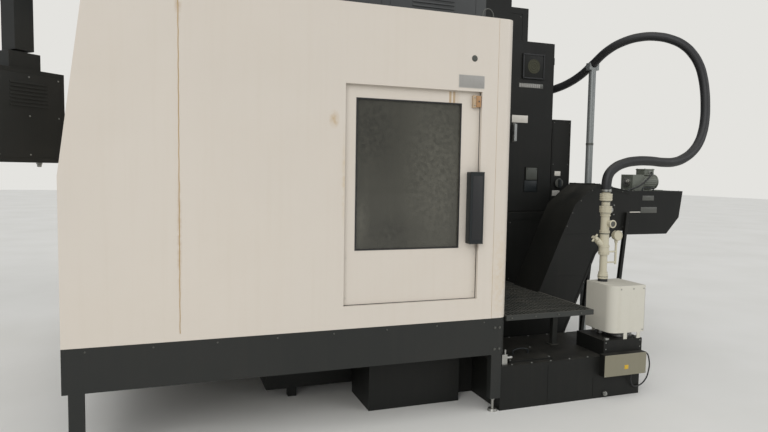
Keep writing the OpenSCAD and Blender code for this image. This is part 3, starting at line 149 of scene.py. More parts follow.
def effect(name, inputs, outputs):
    group = bpy.data.node_groups.new(name, "ShaderNodeTree")
    kinds = {float: "NodeSocketFloat", list: "NodeSocketColor", tuple: "NodeSocketVector"}
    for label, value in inputs:
        socket = group.interface.new_socket(label, in_out="INPUT", socket_type=kinds[type(value)])
        socket.default_value = value
    for label in outputs:
        kind = "NodeSocketColor" if label == "Color" else "NodeSocketFloat"
        group.interface.new_socket(label, in_out="OUTPUT", socket_type=kind)
    return group, group.nodes.new("NodeGroupInput").outputs, group.nodes.new("NodeGroupOutput")


def give(tree, outs, **values):
    for label, value in values.items():
        tree.links.new(value, outs.inputs[label])
    return tree


def make_weathering():
    """Mottling, runs down a wall, dust on what faces up and a fine sprayed texture."""
    tree, ins, outs = effect("weathering", [("Base", linear("#808080")), ("Grime", linear("#6a655c")),
        ("Dust", linear("#a09a8e")), ("Amount", 0.3), ("Dustiness", 0.3), ("Roughness", 0.4),
        ("Texture", 400.0)], ["Color", "Roughness", "Height"])
    blotch = band(tree, grain(tree, 1.9, 5), 0.45, 0.75)
    runs = band(tree, grain(tree, 1.0, 5, (26, 26, 1.1)), 0.5, 0.8)
    specks = band(tree, grain(tree, 55, 2), 0.63, 0.72)
    normal = add(tree, "NewGeometry").outputs["Normal"]
    upward = band(tree, add(tree, "SeparateXYZ", {0: normal}).outputs[2], 0.35, 0.95)
    settled = times(tree, upward, band(tree, grain(tree, 7, 4), 0.25, 0.7))
    patchy = plus(tree, times(tree, runs, 0.45), times(tree, specks, 0.3))
    soiled = times(tree, ins["Amount"], plus(tree, times(tree, blotch, 0.5), patchy), True)
    dusty = times(tree, ins["Dustiness"], settled, True)
    shade = band(tree, grain(tree, 0.9, 2), 0.2, 0.8, 0.965, 1.03)
    tone = add(tree, "HueSaturation", {"Value": shade, "Color": ins["Base"]}).outputs[0]
    tone = blend(tree, dusty, blend(tree, soiled, tone, ins["Grime"]), ins["Dust"])
    uneven = plus(tree, ins["Roughness"], band(tree, grain(tree, 4, 5), 0.3, 0.7, -0.05, 0.07))
    rough = plus(tree, uneven, plus(tree, times(tree, soiled, 0.2), times(tree, dusty, 0.35)), True)
    fine = grain(tree, ins["Texture"], 2.0)
    return give(tree, outs, Color=tone, Roughness=rough, Height=fine)


def make_machining():
    """Fine lay of a ground or turned face, with a film of old coolant."""
    tree, ins, outs = effect("machining", [("Base", linear("#a9a9a6")), ("Film", linear("#6f6a5e")),
        ("Roughness", 0.32)], ["Color", "Roughness", "Height"])
    lay = grain(tree, 6, 4, (1.5, 60, 60))
    film = band(tree, grain(tree, 3.1, 6), 0.48, 0.7)
    spots = band(tree, grain(tree, 34, 3), 0.6, 0.7)
    stained = times(tree, plus(tree, film, times(tree, spots, 0.4)), 0.45, True)
    uneven = plus(tree, ins["Roughness"], band(tree, lay, 0.2, 0.8, -0.07, 0.09))
    return give(tree, outs, Color=blend(tree, stained, ins["Base"], ins["Film"]),
        Roughness=plus(tree, uneven, times(tree, stained, 0.25), True), Height=lay)


def make_stain_and_painted_light():
    """A soft uneven patch of one tint around a place: a drip or an old rust mark on a wall, and on the
    window glass the painted reflections and painted shade.
    """
    tree, ins, outs = effect("lay_stains_and_painted_light", [("Color", linear("#d0c8bc")), ("Tint", linear("#8a7350")),
        ("Place", (0.0, 0.0, 0.0)), ("Size", (0.1, 0.1, 0.1)), ("Amount", 0.4)], ["Color"])
    away = add(tree, "VectorMath", {0: on_object(tree), 1: ins["Place"]}, operation="SUBTRACT").outputs[0]
    away = add(tree, "VectorMath", {0: away, 1: ins["Size"]}, operation="DIVIDE").outputs[0]
    reach = add(tree, "VectorMath", {0: away}, operation="LENGTH").outputs["Value"]
    ragged = band(tree, grain(tree, 38, 4), 0.3, 0.65)
    share = times(tree, times(tree, band(tree, reach, 1.0, 0.15), ragged), ins["Amount"], True)
    return give(tree, outs, Color=blend(tree, share, ins["Color"], ins["Tint"]))


WEATHERING = make_weathering()
MACHINING = make_machining()
STAIN_AND_PAINTED_LIGHT = make_stain_and_painted_light()


def new_finish(name, group, sockets, height, metal=0, coat=0, shine=0.5):
    """A material whose colour, roughness and fine relief come from one of the shared effects."""
    material = bpy.data.materials.new(name)
    material.use_nodes = True
    tree = material.node_tree
    tree.nodes.clear()
    shader = add(tree, "BsdfPrincipled",
        {"Metallic": metal, "Coat Weight": coat, "Specular IOR Level": shine})
    look = add(tree, "Group", sockets, node_tree=group)
    relief = add(tree, "Bump", {"Height": look.outputs["Height"], "Distance": height / 1000})
    tree.links.new(look.outputs["Color"], shader.inputs["Base Color"])
    tree.links.new(look.outputs["Roughness"], shader.inputs["Roughness"])
    tree.links.new(relief.outputs[0], shader.inputs["Normal"])
    add(tree, "OutputMaterial", {"Surface": shader.outputs[0]})
    return material


def coating(name, base, grime, dust, amount, dusty, rough, texture, height, metal=0, coat=0, shine=0.5):
    return new_finish(name, WEATHERING, {"Base": base, "Grime": grime, "Dust": dust, "Amount": amount,
        "Dustiness": dusty, "Roughness": rough, "Texture": texture}, height, metal, coat, shine)


# The record's slot that each surface counts under, where that isn't its own name; its base, grime and dust
# colours; amounts of grime and dust; roughness; scale and height in mm of its texture; metal, coat, shine
COATINGS = dict(
    white_paint=("", "#d3cbc0", "#b39f80", "#aaa292", 0.11, 0.35, 0.36, 260, 0.12),
    black_paint=("", "#181917", "#302d28", "#57544c", 0.28, 0.34, 0.48, 900, 0.2, 0, 0, 0.25),
    skirt_paint=("black_paint", "#1f211f", "#37342e", "#5f5c54", 0.3, 0.36, 0.48, 900, 0.2, 0, 0, 0.42),
    housing_paint=("black_paint", "#3d3f3f", "#46443f", "#6d6a62", 0.3, 0.4, 0.46, 900, 0.2),
    charcoal_paint=("", "#2c2e2b", "#47443c", "#716d62", 0.42, 0.5, 0.5, 700, 0.22),
    cast_iron=("", "#6b706f", "#4a4640", "#86807a", 0.45, 0.25, 0.55, 160, 0.45),
    light_grey_paint=("", "#c9c6ba", "#9a917c", "#a8a294", 0.22, 0.4, 0.4, 300, 0.12),
    motor_paint=("", "#666a61", "#4b473e", "#7d786c", 0.4, 0.5, 0.45, 300, 0.15),
    zinc_latch=("", "#a4a6a4", "#6e6b66", "#8d8a84", 0.3, 0.2, 0.35, 500, 0.05, 0.7),
    cream_pvc=("", "#c2bca6", "#978a6b", "#b3aa94", 0.28, 0.35, 0.3, 120, 0.08, 0, 0.25),
    black_rubber=("", "#1b1c1e", "#34322f", "#5a574f", 0.3, 0.35, 0.5, 500, 0.15),
    black_plastic=("", "#1c2123", "#34342f", "#5f5c55", 0.25, 0.3, 0.42, 1100, 0.12, 0, 0, 0.35),
    red_plastic=("", "#b3261e", "#6b2a22", "#9a7a70", 0.2, 0.2, 0.28, 300, 0.03, 0, 0.4),
    green_plastic=("", "#3f9150", "#2f5a38", "#8a9a84", 0.2, 0.2, 0.28, 300, 0.03, 0, 0.4),
    sealant=("white_paint", "#b99c6c", "#7c6440", "#a39272", 0.5, 0.3, 0.5, 60, 0.4),
    tan_tape=("white_paint", "#b7a184", "#8c7450", "#a99a80", 0.4, 0.2, 0.55, 220, 0.1),
    interlock_brown=("motor_paint", "#a67f58", "#6d5238", "#9a8464", 0.4, 0.2, 0.4, 300, 0.1),
    blank_plate=("light_grey_paint", "#b9b7b1", "#8d887c", "#a09b90", 0.3, 0.2, 0.3, 700, 0.03, 0.3),
    pale_plate=("light_grey_paint", "#cfcbc2", "#978f80", "#aaa498", 0.3, 0.2, 0.35, 700, 0.03),
    dark_plate=("black_paint", "#565752", "#3f3d39", "#77746c", 0.35, 0.2, 0.35, 700, 0.03, 0.2),
    mid_plate=("light_grey_paint", "#999793", "#6d685d", "#918c80", 0.4, 0.2, 0.42, 700, 0.03),
    khaki_plate=("light_grey_paint", "#7f7b69", "#6b6448", "#9a937c", 0.3, 0.2, 0.45, 500, 0.05),
    grey_green=("black_plastic", "#484b45", "#3a3933", "#66635a", 0.35, 0.3, 0.5, 500, 0.1),
    filter_mat=("black_plastic", "#3a3a2c", "#4a4836", "#5f5c46", 0.6, 0.3, 0.85, 900, 0.8),
    galvanised=("steel", "#8f9392", "#6b6c6a", "#9a9a95", 0.55, 0.3, 0.42, 45, 0.06, 0.55),
    zinc_screw=("steel", "#a2a39f", "#5d5a54", "#88857d", 0.4, 0.3, 0.35, 400, 0.03, 0.85),
    brass=("steel", "#a58a55", "#5f5034", "#8d8160", 0.4, 0.3, 0.35, 300, 0.04, 0.85),
    yellow_ring=("green_plastic", "#c9a42c", "#7d6a30", "#a09060", 0.25, 0.2, 0.4, 400, 0.04),
    dial_face=("light_grey_paint", "#d9d8d0", "#a8a598", "#b8b5aa", 0.2, 0.1, 0.25, 500, 0.02),
    screen_glass=("black_plastic", "#11161a", "#23282b", "#4a4d4c", 0.25, 0.1, 0.1, 40, 0.01, 0, 0.6),
    smoked_glass=("", "#4c4b43", "#68665b", "#878376", 0.4, 0.2, 0.12, 30, 0.02, 0, 0.3),
    lamp_lens=("light_grey_paint", "#d5d8d2", "#9fa198", "#b5b4a8", 0.3, 0.2, 0.2, 60, 0.1),
)
FINISH = {name: coating(name, *row[1:]) for name, row in COATINGS.items()}
FINISH["steel"] = new_finish("steel", MACHINING, {"Base": "#b4b4b0", "Film": "#7a7466", "Roughness": 0.3},
    0.02, metal=0.9)
SLOT_OF_FINISH = {name: row[0] or name for name, row in COATINGS.items()}
SLOT_OF_FINISH.update(steel="steel", stained_wall="white_paint")


def shader_of(material):
    return next(node for node in material.node_tree.nodes if node.type == "BSDF_PRINCIPLED")


def lay_stains_and_painted_light(material, spots):
    """Lays a patch of one tint on a material at each (place, size, tint, amount): stains on the walls,
    painted reflections and painted shade on the glass.
    """
    tree = material.node_tree
    base = shader_of(material).inputs["Base Color"]
    for place, size, tint, amount in spots:
        patch = add(tree, "Group", {"Color": base.links[0].from_socket, "Tint": tint, "Place": mm(*place),
            "Size": Vector(size) / 1000, "Amount": amount}, node_tree=STAIN_AND_PAINTED_LIGHT)
        tree.links.new(patch.outputs["Color"], base)


shader_of(FINISH["smoked_glass"]).inputs["Alpha"].default_value = 0.74
# Painted reflections (the pale patches) and painted shade (the dark patches), laid on the window glass as
# tints
lay_stains_and_painted_light(FINISH["smoked_glass"], [((-500, 30, 1560), (300, 80, 640), "#77756a", 0.55),
    ((-960, 30, 1790), (320, 80, 330), "#262622", 0.6), ((-800, 30, 1190), (280, 80, 140), "#262622", 0.5),
    ((-1000, 30, 1240), (70, 80, 200), "#77756a", 0.5)])
FINISH["stained_wall"] = FINISH["white_paint"].copy()
FINISH["stained_wall"].name = "stained_wall"
lay_stains_and_painted_light(FINISH["stained_wall"], [
    ((-1172, 0, 1844), (34, 60, 58), "#b08a3e", 0.6), ((-2015, 0, 2440), (22, 60, 160), "#a8854e", 0.5),
    ((-2015, 0, 1180), (16, 60, 420), "#a8854e", 0.45), ((-232, 28, 1092), (13, 60, 42), "#5a4a30", 0.75),
    ((-232, 28, 930), (6, 60, 190), "#8a7650", 0.5), ((-60, 0, 900), (90, 60, 420), "#c4ab7e", 0.35),
    ((-1110, 0, 1500), (18, 60, 360), "#bfa673", 0.4), ((-400, 28, 2010), (40, 60, 60), "#b09668", 0.4)])


# Modelling steps

def clear_selection():
    if bpy.context.object and bpy.context.object.mode != "OBJECT":
        bpy.ops.object.mode_set(mode="OBJECT")
    bpy.ops.object.select_all(action="DESELECT")


def edit(choice="SELECT"):
    """Opens the active piece for editing, with all of its mesh selected or none of it."""
    bpy.ops.object.mode_set(mode="EDIT")
    bpy.ops.mesh.select_all(action=choice)


def done():
    bpy.ops.object.mode_set(mode="OBJECT")


def edit_where(piece, test):
    """Opens the active piece for editing, with only the vertices selected whose places pass a test."""
    edit("DESELECT")
    done()
    for vertex in piece.data.vertices:
        vertex.select = test(vertex.co)
    bpy.ops.object.mode_set(mode="EDIT")
    bpy.ops.mesh.select_mode(type="VERT")


def take(piece):
    clear_selection()
    piece.select_set(True)
    bpy.context.view_layer.objects.active = piece


def settle(piece, name, finish, body="machine", angle=35):
    """Names a finished piece, puts its place into its mesh, and gives it its finish and its body."""
    take(piece)
    bpy.ops.object.transform_apply()
    bpy.ops.object.shade_smooth_by_angle(angle=radians(angle))
    piece.name = piece.data.name = name
    piece.data.materials.clear()
    piece.data.materials.append(FINISH[finish])
    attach(piece, body)
    return piece


def slab(low, high, edge=1.0, steps=2):
    """A plate or block between two corners in millimetres, with eased edges."""
    a, b = mm(*low), mm(*high)
    clear_selection()
    bpy.ops.mesh.primitive_cube_add(size=1, location=(a + b) / 2, scale=b - a)
    bpy.ops.object.transform_apply()
    if edge:
        edit()
        bpy.ops.mesh.bevel(offset=edge / 1000, segments=steps, affect="EDGES")
        done()
    return bpy.context.object


def bar(start, end, wide, thick, edge=0.6):
    """A flat bar between two places, thick along Y, with eased edges."""
    a, b = mm(*start), mm(*end)
    piece = slab((0, 0, 0), (wide, thick, (b - a).length * 1000), edge, 1)
    bpy.ops.object.transform_apply()
    turn = Vector(UP).rotation_difference((b - a).normalized()).to_matrix().to_4x4()
    piece.matrix_world = Matrix.Translation(a) @ turn @ Matrix.Translation(-mm(wide / 2, thick / 2, 0))
    return piece


def turned(foot, along, profile, sides=32):
    """A round piece grown from its foot: each (radius, step) is extruded on along its axis."""
    clear_selection()
    radius, height = profile[0][0], 0.0
    bpy.ops.mesh.primitive_circle_add(vertices=sides, radius=radius / 1000, fill_type="NGON")
    piece = bpy.context.object
    edit()
    for wide, step in profile[1:]:
        height += step / 1000
        bpy.ops.mesh.extrude_region_move(TRANSFORM_OT_translate={"value": (0, 0, step / 1000)})
        bpy.ops.transform.resize(value=(wide / radius, wide / radius, 1), center_override=(0, 0, height))
        radius = wide
    bpy.ops.mesh.select_all(action="SELECT")
    bpy.ops.mesh.normals_make_consistent()
    done()
    turn = Vector(along).to_track_quat("Z", "Y").to_matrix().to_4x4()
    piece.matrix_world = Matrix.Translation(mm(*foot)) @ turn
    return piece


def run(points, radius, sides=4, steps=5):
    """A cable or hose of one radius in millimetres through the given places."""
    curve = bpy.data.curves.new("run", "CURVE")
    curve.dimensions = "3D"
    curve.bevel_depth = radius / 1000
    curve.bevel_resolution = sides
    curve.resolution_u = steps
    curve.use_fill_caps = True
    line = curve.splines.new("BEZIER")
    line.bezier_points.add(len(points) - 1)
    for knot, place in zip(line.bezier_points, points):
        knot.co = mm(*place)
        knot.handle_left_type = knot.handle_right_type = "AUTO"
    piece = bpy.data.objects.new("run", curve)
    link(piece)
    take(piece)
    bpy.ops.object.convert(target="MESH")
    return bpy.context.object


def joined(parts):
    clear_selection()
    for part in parts:
        part.select_set(True)
    bpy.context.view_layer.objects.active = parts[0]
    bpy.ops.object.join()
    return bpy.context.object


def row_of(make, spots):
    """One piece modelled at the first spot and copied to the others, as one mesh."""
    row = [make(spots[0])]
    for spot in spots[1:]:
        twin = row[0].copy()
        twin.data = row[0].data.copy()
        link(twin)
        offset = (Vector(spot) - Vector(spots[0])) / 1000
        twin.matrix_world = Matrix.Translation(offset) @ row[0].matrix_world
        row.append(twin)
    return joined(row)


def blocks(spots, size, edge=1.0, steps=2):
    """One eased block at each spot, which is its lowest corner, as one mesh."""
    return row_of(lambda s: slab(s, (s[0] + size[0], s[1] + size[1], s[2] + size[2]), edge, steps), spots)


def rounds(spots, along, profile, sides):
    """One turned piece at each spot, as one mesh."""
    return row_of(lambda spot: turned(spot, along, profile, sides), spots)


def ring(centre, radius, degrees, first, second):
    """Places round a centre, at angles counted from its first axis towards its second."""
    places = []
    for angle in degrees:
        place = list(centre)
        place[first] += radius * cos(radians(angle))
        place[second] += radius * sin(radians(angle))
        places.append(place)
    return places


def frame_strip(low, high, wide, depth_axis, edge=0.8):
    """A closed rectangular strip round an opening: a plate whose middle is inset and taken out."""
    piece = slab(low, high, edge, 1)
    edit("DESELECT")
    done()
    for face in piece.data.polygons:
        face.select = abs(face.normal[depth_axis]) > 0.99
    bpy.ops.object.mode_set(mode="EDIT")
    bpy.ops.mesh.inset(thickness=wide / 1000)
    bpy.ops.mesh.bridge_edge_loops()
    done()
    return piece


def score(piece, cuts):
    """Cuts seams and recesses, each a thin block between two corners in millimetres, out of a piece."""
    tool = joined([slab(low, high, 0) for low, high in cuts])
    take(piece)
    seams = piece.modifiers.new("seams", "BOOLEAN")
    seams.operation = "DIFFERENCE"
    seams.solver = "EXACT"
    seams.use_self = True
    seams.object = tool
    bpy.ops.object.modifier_apply(modifier="seams")
    bpy.data.objects.remove(tool)


# Distance in metres under which points are one, and angle in degrees under which faces are one
WELD, FLAT = 0.00001, 0.6


def eased(node, edge, finish):
    """The solid of a node with its folds and rims rounded as on the real part, which then stands for it."""
    piece = bpy.data.objects.new(node + "_finished", NODES[node].data.copy())
    link(piece)
    take(piece)
    bpy.ops.mesh.customdata_custom_splitnormals_clear()
    edit()
    bpy.ops.mesh.remove_doubles(threshold=WELD)
    bpy.ops.mesh.dissolve_limited(angle_limit=radians(FLAT))
    done()
    if edge:
        bevel = piece.modifiers.new("eased", "BEVEL")
        bevel.width = edge / 1000
        bevel.segments = 2
        bevel.limit_method = "ANGLE"
        bevel.angle_limit = radians(30)
        bpy.ops.object.modifier_apply(modifier="eased")
    if node in SEAMS:
        score(piece, SEAMS[node])
    settle(piece, node + "_finished", finish or SLOT_OF[node], BODY_OF[node], 48)
    level = piece.modifiers.new("level", "WEIGHTED_NORMAL")
    level.keep_sharp = True
    bpy.ops.object.modifier_apply(modifier="level")
    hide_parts(node)
    return piece


def outline_y(y, x0, x1, z0, z1, wide=3, deep=3):
    """Seams round a door or cover in a wall that faces along Y."""
    return [((x, y - deep, z0), (x + wide, y + deep, z1 + wide)) for x in (x0, x1)] + [
        ((x0 + wide, y - deep, z), (x1, y + deep, z + wide)) for z in (z0, z1)]


def outline_x(x, y0, y1, z0, z1):
    """Seams round a door or cover in a wall that faces along X."""
    return [[(b, a, c) for a, b, c in seam] for seam in outline_y(x, y0, y1, z0, z1)]


FAR_Y = 3500
REAR_X = 1205
SEAMS = {
    "far_side_panel": outline_y(FAR_Y, -1010, -310, 760, 2200) + outline_y(FAR_Y, -2380, -1300, 760, 1500)
        + [((x, FAR_Y - 8, z), (x + 50, FAR_Y + 1, z + 140)) for x, z in ((-402, 1400), (-1400, 1080))],
    "rear_housing": outline_x(REAR_X, 1880, 2560, 300, 2300) + outline_x(REAR_X, 2640, 3400, 300, 2300)
        + outline_y(FAR_Y, 120, 1080, 300, 1500) + outline_y(FAR_Y, 120, 1080, 1620, 2900)
        + outline_y(1765, 760, 1140, 2720, 3060)
        + [((REAR_X - 8, y, 1200), (REAR_X + 1, y + 50, 1340)) for y in (2480, 2690)]
        + [((950, FAR_Y - 8, z), (1000, FAR_Y + 1, z + 130)) for z in (830, 2160)],
    "upper_housing": [seam for y in (400, 3100) for x in (-1380, -700)
        for seam in outline_y(y, x, x + 620, 2570, 3060)],
    "electrical_cabinet": outline_y(1200, 712, 1130, 140, 1150),
    "switch_box": outline_y(1200, 1136, 1306, 1240, 2012, 2, 2),
    "conveyor_casing": [((905, 660, 1076), (1490, 672, 1079)), ((850, 660, 740), (1110, 672, 743))],
    "coolant_tank": [((330, 6, 12), (333, 12, 275)), ((700, 6, 12), (703, 12, 150))],
}
# Radius in mm of each solid's eased folds and rims, in the order in which they are made
EDGES = dict(
    side_panel=2, corner_post=2, base_skirt=1.5, far_side_panel=2, front_panel=2,
    upper_housing=4, rear_housing=4, chamber_floor=0, guide_rails=1,
    electrical_cabinet=4, cabinet_backplate=2, switch_box=4, coolant_tank=3,
    tank_lid=3, pump_housing=3, coolant_pump=2, riser_coupling=1.5, hose_post=2,
    conveyor_casing=2, conveyor_hood=2, terminal_box=2, tank_fittings=1,
    platform_frame=1.5, magazine_stand=4, pendant_post=4, levelling_feet=1.5,
    bed_casting=5, side_door=2, side_door_handle=5, loading_door=2, column=6,
    spindle_head=6, spindle=1, table_saddle=5, rotary_table=3, work_pallet=1.5,
    changer_shaft=1.5, changer_arm=4, setup_pallet=1.5, magazine_wheel=1,
    change_arm=3, cabinet_door=3, cabinet_latch=1.5, cabinet_fan=0.6, main_switch=1.5,
    valve_knob=1.5, conveyor_shaft=1, pendant_arm=4, pendant_box=5,
    emergency_stop=1.5, start_button=0.8, feed_knob=1, riser_pipe=1.2, bypass_line=0.8,
    conveyor_motor=4, conveyor_belt=0, side_door_window=0.8, loading_door_window=0.8,
    platform_grating=0,
)
OWN_FINISH = dict(side_panel="stained_wall", side_door="stained_wall", corner_post="stained_wall",
    hose_post="galvanised", upper_housing="housing_paint", conveyor_casing="black_paint",
    conveyor_hood="black_paint", coolant_tank="black_paint", base_skirt="skirt_paint",
    bypass_line="cream_pvc", pendant_box="skirt_paint", pendant_arm="skirt_paint")
DRESSED = {node: eased(node, edge, OWN_FINISH.get(node)) for node, edge in EDGES.items()}
# Reach from the wheel's axis, in metres, of the bore's vertices, and how far they move out
BORE_REACH, MORE_ROOM = 0.0325, 1.015


def open_wheel_bore():
    """Gives the magazine wheel's bore a hair more room on its shaft, so their facets never cross.

    Edges inside the tool pots that are still selected move out with it, by 5 mm at most."""
    wheel, axis = DRESSED["magazine_wheel"], mm(0, 3050, 1700)
    take(wheel)
    for vertex in wheel.data.vertices:
        vertex.select = hypot(vertex.co.y - axis.y, vertex.co.z - axis.z) < BORE_REACH
    bpy.ops.object.mode_set(mode="EDIT")
    bpy.ops.mesh.select_mode(type="VERT")
    bpy.ops.transform.resize(value=(1, MORE_ROOM, MORE_ROOM), center_override=axis)
    done()


open_wheel_bore()


# Small parts that several places share

DARK, ZINC, RUBBER, PLASTIC = "dark_plate", "zinc_screw", "black_rubber", "black_plastic"


def screw_head(spot, along, radius):
    return turned(spot, along, [(radius, 0), (radius, radius * 0.5), (radius * 0.8, radius * 0.2),
        (radius * 0.5, 0), (radius * 0.42, -radius * 0.4)], 12)


def screws(name, spots, along=NEAR, radius=5, body="machine", finish=ZINC):
    settle(row_of(lambda spot: screw_head(spot, along, radius), spots), name, finish, body)


def plate(name, low, high, finish="blank_plate", body="machine", edge=0.8):
    settle(slab(low, high, edge), name, finish, body)


def grid(xs, ys, zs):
    return [(x, y, z) for x in xs for y in ys for z in zs]


def hex_bolt(spot, along, radius):
    return turned(spot, along, [(radius * 1.35, 0), (radius * 1.35, 2), (radius, 0), (radius, radius * 0.7),
        (radius * 0.8, radius * 0.12)], 6)


def hex_bolts(name, spots, along, radius=8, body="machine", finish=ZINC):
    settle(row_of(lambda spot: hex_bolt(spot, along, radius), spots), name, finish, body, 25)


def louvre(spot, wide, high=16, out=7):
    """One pressed louvre in a wall that faces -Y: its lip stands out and its top fades into the wall."""
    x, y, z = spot
    piece = slab((x, y - out, z), (x + wide, y, z + high), 0)
    rim = mm(x, y - out, z + high)
    edit_where(piece, lambda place: abs(place.y - rim.y) < WELD and abs(place.z - rim.z) < WELD)
    bpy.ops.transform.translate(value=(0, (out - 0.6) / 1000, 0))
    bpy.ops.mesh.select_all(action="SELECT")
    bpy.ops.mesh.bevel(offset=0.0005, segments=1, affect="EDGES")
    done()
    return piece


def turn_about(piece, place, angle):
    """Turns a piece about an upright axis, so that what was modelled facing -Y faces another way."""
    centre = Matrix.Translation(mm(*place))
    turn = Matrix.Rotation(radians(angle), 4, "Z")
    piece.matrix_world = centre @ turn @ centre.inverted() @ piece.matrix_world
    return piece


def cable(name, points, radius, finish=RUBBER, body="machine", sides=4):
    settle(run(points, radius, sides), name, finish, body, 60)


# Return hose

RISER_X, RISER_Y = 925, 225
HOSE_RADIUS = 35
HOSE_ROUTE = [(RISER_X, RISER_Y, 1428), (RISER_X, RISER_Y, 1500), (942, 227, 1555), (996, 230, 1605),
    (1082, 234, 1640), (1190, 240, 1658), (1330, 250, 1662), (1470, 263, 1655), (1600, 280, 1662),
    (1710, 297, 1695), (1800, 312, 1745), (1875, 328, 1815), (1930, 346, 1905), (1965, 364, 2010),
    (1985, 385, 2125), (1992, 405, 2240), (1985, 425, 2350), (1965, 447, 2445), (1925, 480, 2535),
    (1870, 520, 2605), (1800, 575, 2655), (1715, 645, 2685), (1625, 730, 2690), (1540, 830, 2665),
    (1475, 940, 2610), (1436, 1092, 2509), (1405, 1210, 2430), (1355, 1320, 2370), (1290, 1420, 2330),
    (1228, 1510, 2308), (1184, 1600, 2300), (1164, 1660, 2300), (1164, 1715, 2300)]


def fit_return_hose():
    hose = settle(run(HOSE_ROUTE, HOSE_RADIUS, 7, 6), "return_hose", RUBBER, angle=60)
    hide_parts("coolant_hose")
    band_profile = [(HOSE_RADIUS, 0), (HOSE_RADIUS + 2, 0), (HOSE_RADIUS + 2, 14), (HOSE_RADIUS, 0)]
    settle(turned((RISER_X, RISER_Y, 1434), UP, band_profile, 40), "hose_clamp", ZINC)
    settle(turned((1164, 1690, 2300), FAR, band_profile, 40), "port_clamp", ZINC)
    plate("hose_clamp_housing", (914, 184, 1433), (936, 190, 1449), ZINC)
    screws("hose_clamp_screw", [(912, 187, 1441)], FRONT, 4)
    settle(turned((1164, 1703, 2300), FAR, [(41, 0), (41, 3), (37, 2), (36, 6)], 40), "port_collar",
        PLASTIC)
    settle(turned((1440, 1092, 1812), UP, [(30, 0), (32.5, 0), (32.5, 18), (30, 0)]), "post_clamp", DARK)
    hex_bolts("post_foot_bolts", grid([1405, 1465], [1055, 1130], [12]), UP, 7)


# White enclosure

def dress_walls():
    bead = [(-2015 + 0.9 * sin(k * 2.3), -0.2, 622 + k * 42) for k in range(1, 45)]
    cable("wall_seam_sealant", bead, 2.1, "sealant", sides=2)
    settle(turned((-286, 2, 2252), NEAR, [(19, 0), (19, 1.5), (16.5, 2), (9, 1.2), (8, -0.6), (3, 0)]),
        "wall_plug", "grey_green")
    plate("door_blank_plate", (-391, -1.2, 2071), (-215, 0.2, 2149), "mid_plate", edge=0.5)
    settle(frame_strip((-391, -1.8, 2071), (-215, -0.2, 2149), 3, 1, 0.4), "door_plate_rim", "blank_plate")
    plate("corner_strip_joint", (-120.2, -0.5, 624), (-118.2, 4, 2508), "tan_tape", edge=0.3)
    hex_bolts("roof_corner_bolts", grid([-2300, -1700, -60], [60, 3440], [2510]), UP, 9)
    hex_bolts("leg_joint_bolts", grid([-90, -56], [0.4], [420, 560]), NEAR, 7, finish=DARK)
    screws("skirt_screws", grid(range(-2480, -150, 330), [0.3], [600]), finish=DARK)
    lead = [(-160, 150, 2511), (-158, 150, 2560), (-146, 151, 2590), (-118, 152, 2602), (-90, 153, 2586),
        (-79, 154, 2556), (-77, 154, 2511)]
    cable("roof_lead", lead, 4.5, DARK)
    gland = [(12, 0), (12, 8), (9, 2), (9, 10), (6, 4)]
    settle(rounds([(-160, 150, 2509), (-77, 154, 2509)], UP, gland, 6), "roof_lead_glands", "pale_plate",
        angle=25)


def dress_side_door():
    door = "side_door"
    settle(frame_strip((-1034, 25.4, 1081), (-353, 28.4, 1978), 7, 1), "side_window_gasket", RUBBER, door)
    settle(blocks([(-440, 27.4, 1975), (-414, 27.4, 1975)], (15, 0.9, 72), 0.3, 1), "door_tapes",
        "tan_tape", door)
    plate("interlock_base", (-284, 10, 1954), (-262, 28.4, 2030), "tan_tape", door, 1.5)
    plate("interlock_key", (-262, 5, 1958), (-231, 24, 2028), "interlock_brown", door, 2)
    screws("interlock_screws", grid([-273], [10], [1968, 2016]), radius=4, body=door)
    screws("interlock_key_screw", [(-246, 5, 1993)], body=door, finish=DARK)
    # A dark strip in the gap at the door's edge: painted shadow of the gap between door and wall
    plate("door_gap_painted_shadow", (-229.6, 24.6, 758), (-227.2, 27.7, 2050), RUBBER, edge=0.4)
    plate("door_sill_strip", (-1104, 24.4, 756), (-230, 27.6, 759), RUBBER, edge=0.4)
    settle(blocks([(-311, -41, 1110), (-311, -41, 1549)], (95, 12, 9), 2.5), "handle_end_caps",
        PLASTIC, door)
    plate("handle_grip_pad", (-296, -41.5, 1135), (-231, -39.5, 1533), RUBBER, door, 0.9)
    screws("door_frame_screws", grid([-1088, -246], [28], [800, 1040]), radius=4, body=door,
        finish="pale_plate")


def dress_front():
    """Loading side: window gasket, bolts and service plates on the white front."""
    screws("loading_sill_screws", grid([-2592.3], range(1380, 2400, 160), [840]), FRONT, 6)
    hex_bolts("front_skirt_bolts", grid([-2592.3], range(200, 3400, 530), [590]), FRONT, 7, finish=DARK)
    settle(blocks([(-2567.6, 1478, 1250), (-2567.6, 2232, 1250)], (3, 10, 250)),
        "loading_window_gasket_sides", RUBBER, "loading_door")
    settle(slab((-2567.6, 1478, 1238), (-2564.6, 2242, 1250)), "loading_window_gasket_foot",
        RUBBER, "loading_door")
    plate("front_blank_plate", (-2593.2, 1180, 1380), (-2591.8, 1290, 1450))
    plate("front_service_plate", (-2594, 2900, 760), (-2591.8, 3260, 1320), "white_paint", edge=1)
    screws("front_service_screws", grid([-2594], [2925, 3235], [790, 1040, 1290]), FRONT, 6)


# Electrical cabinet and switch box

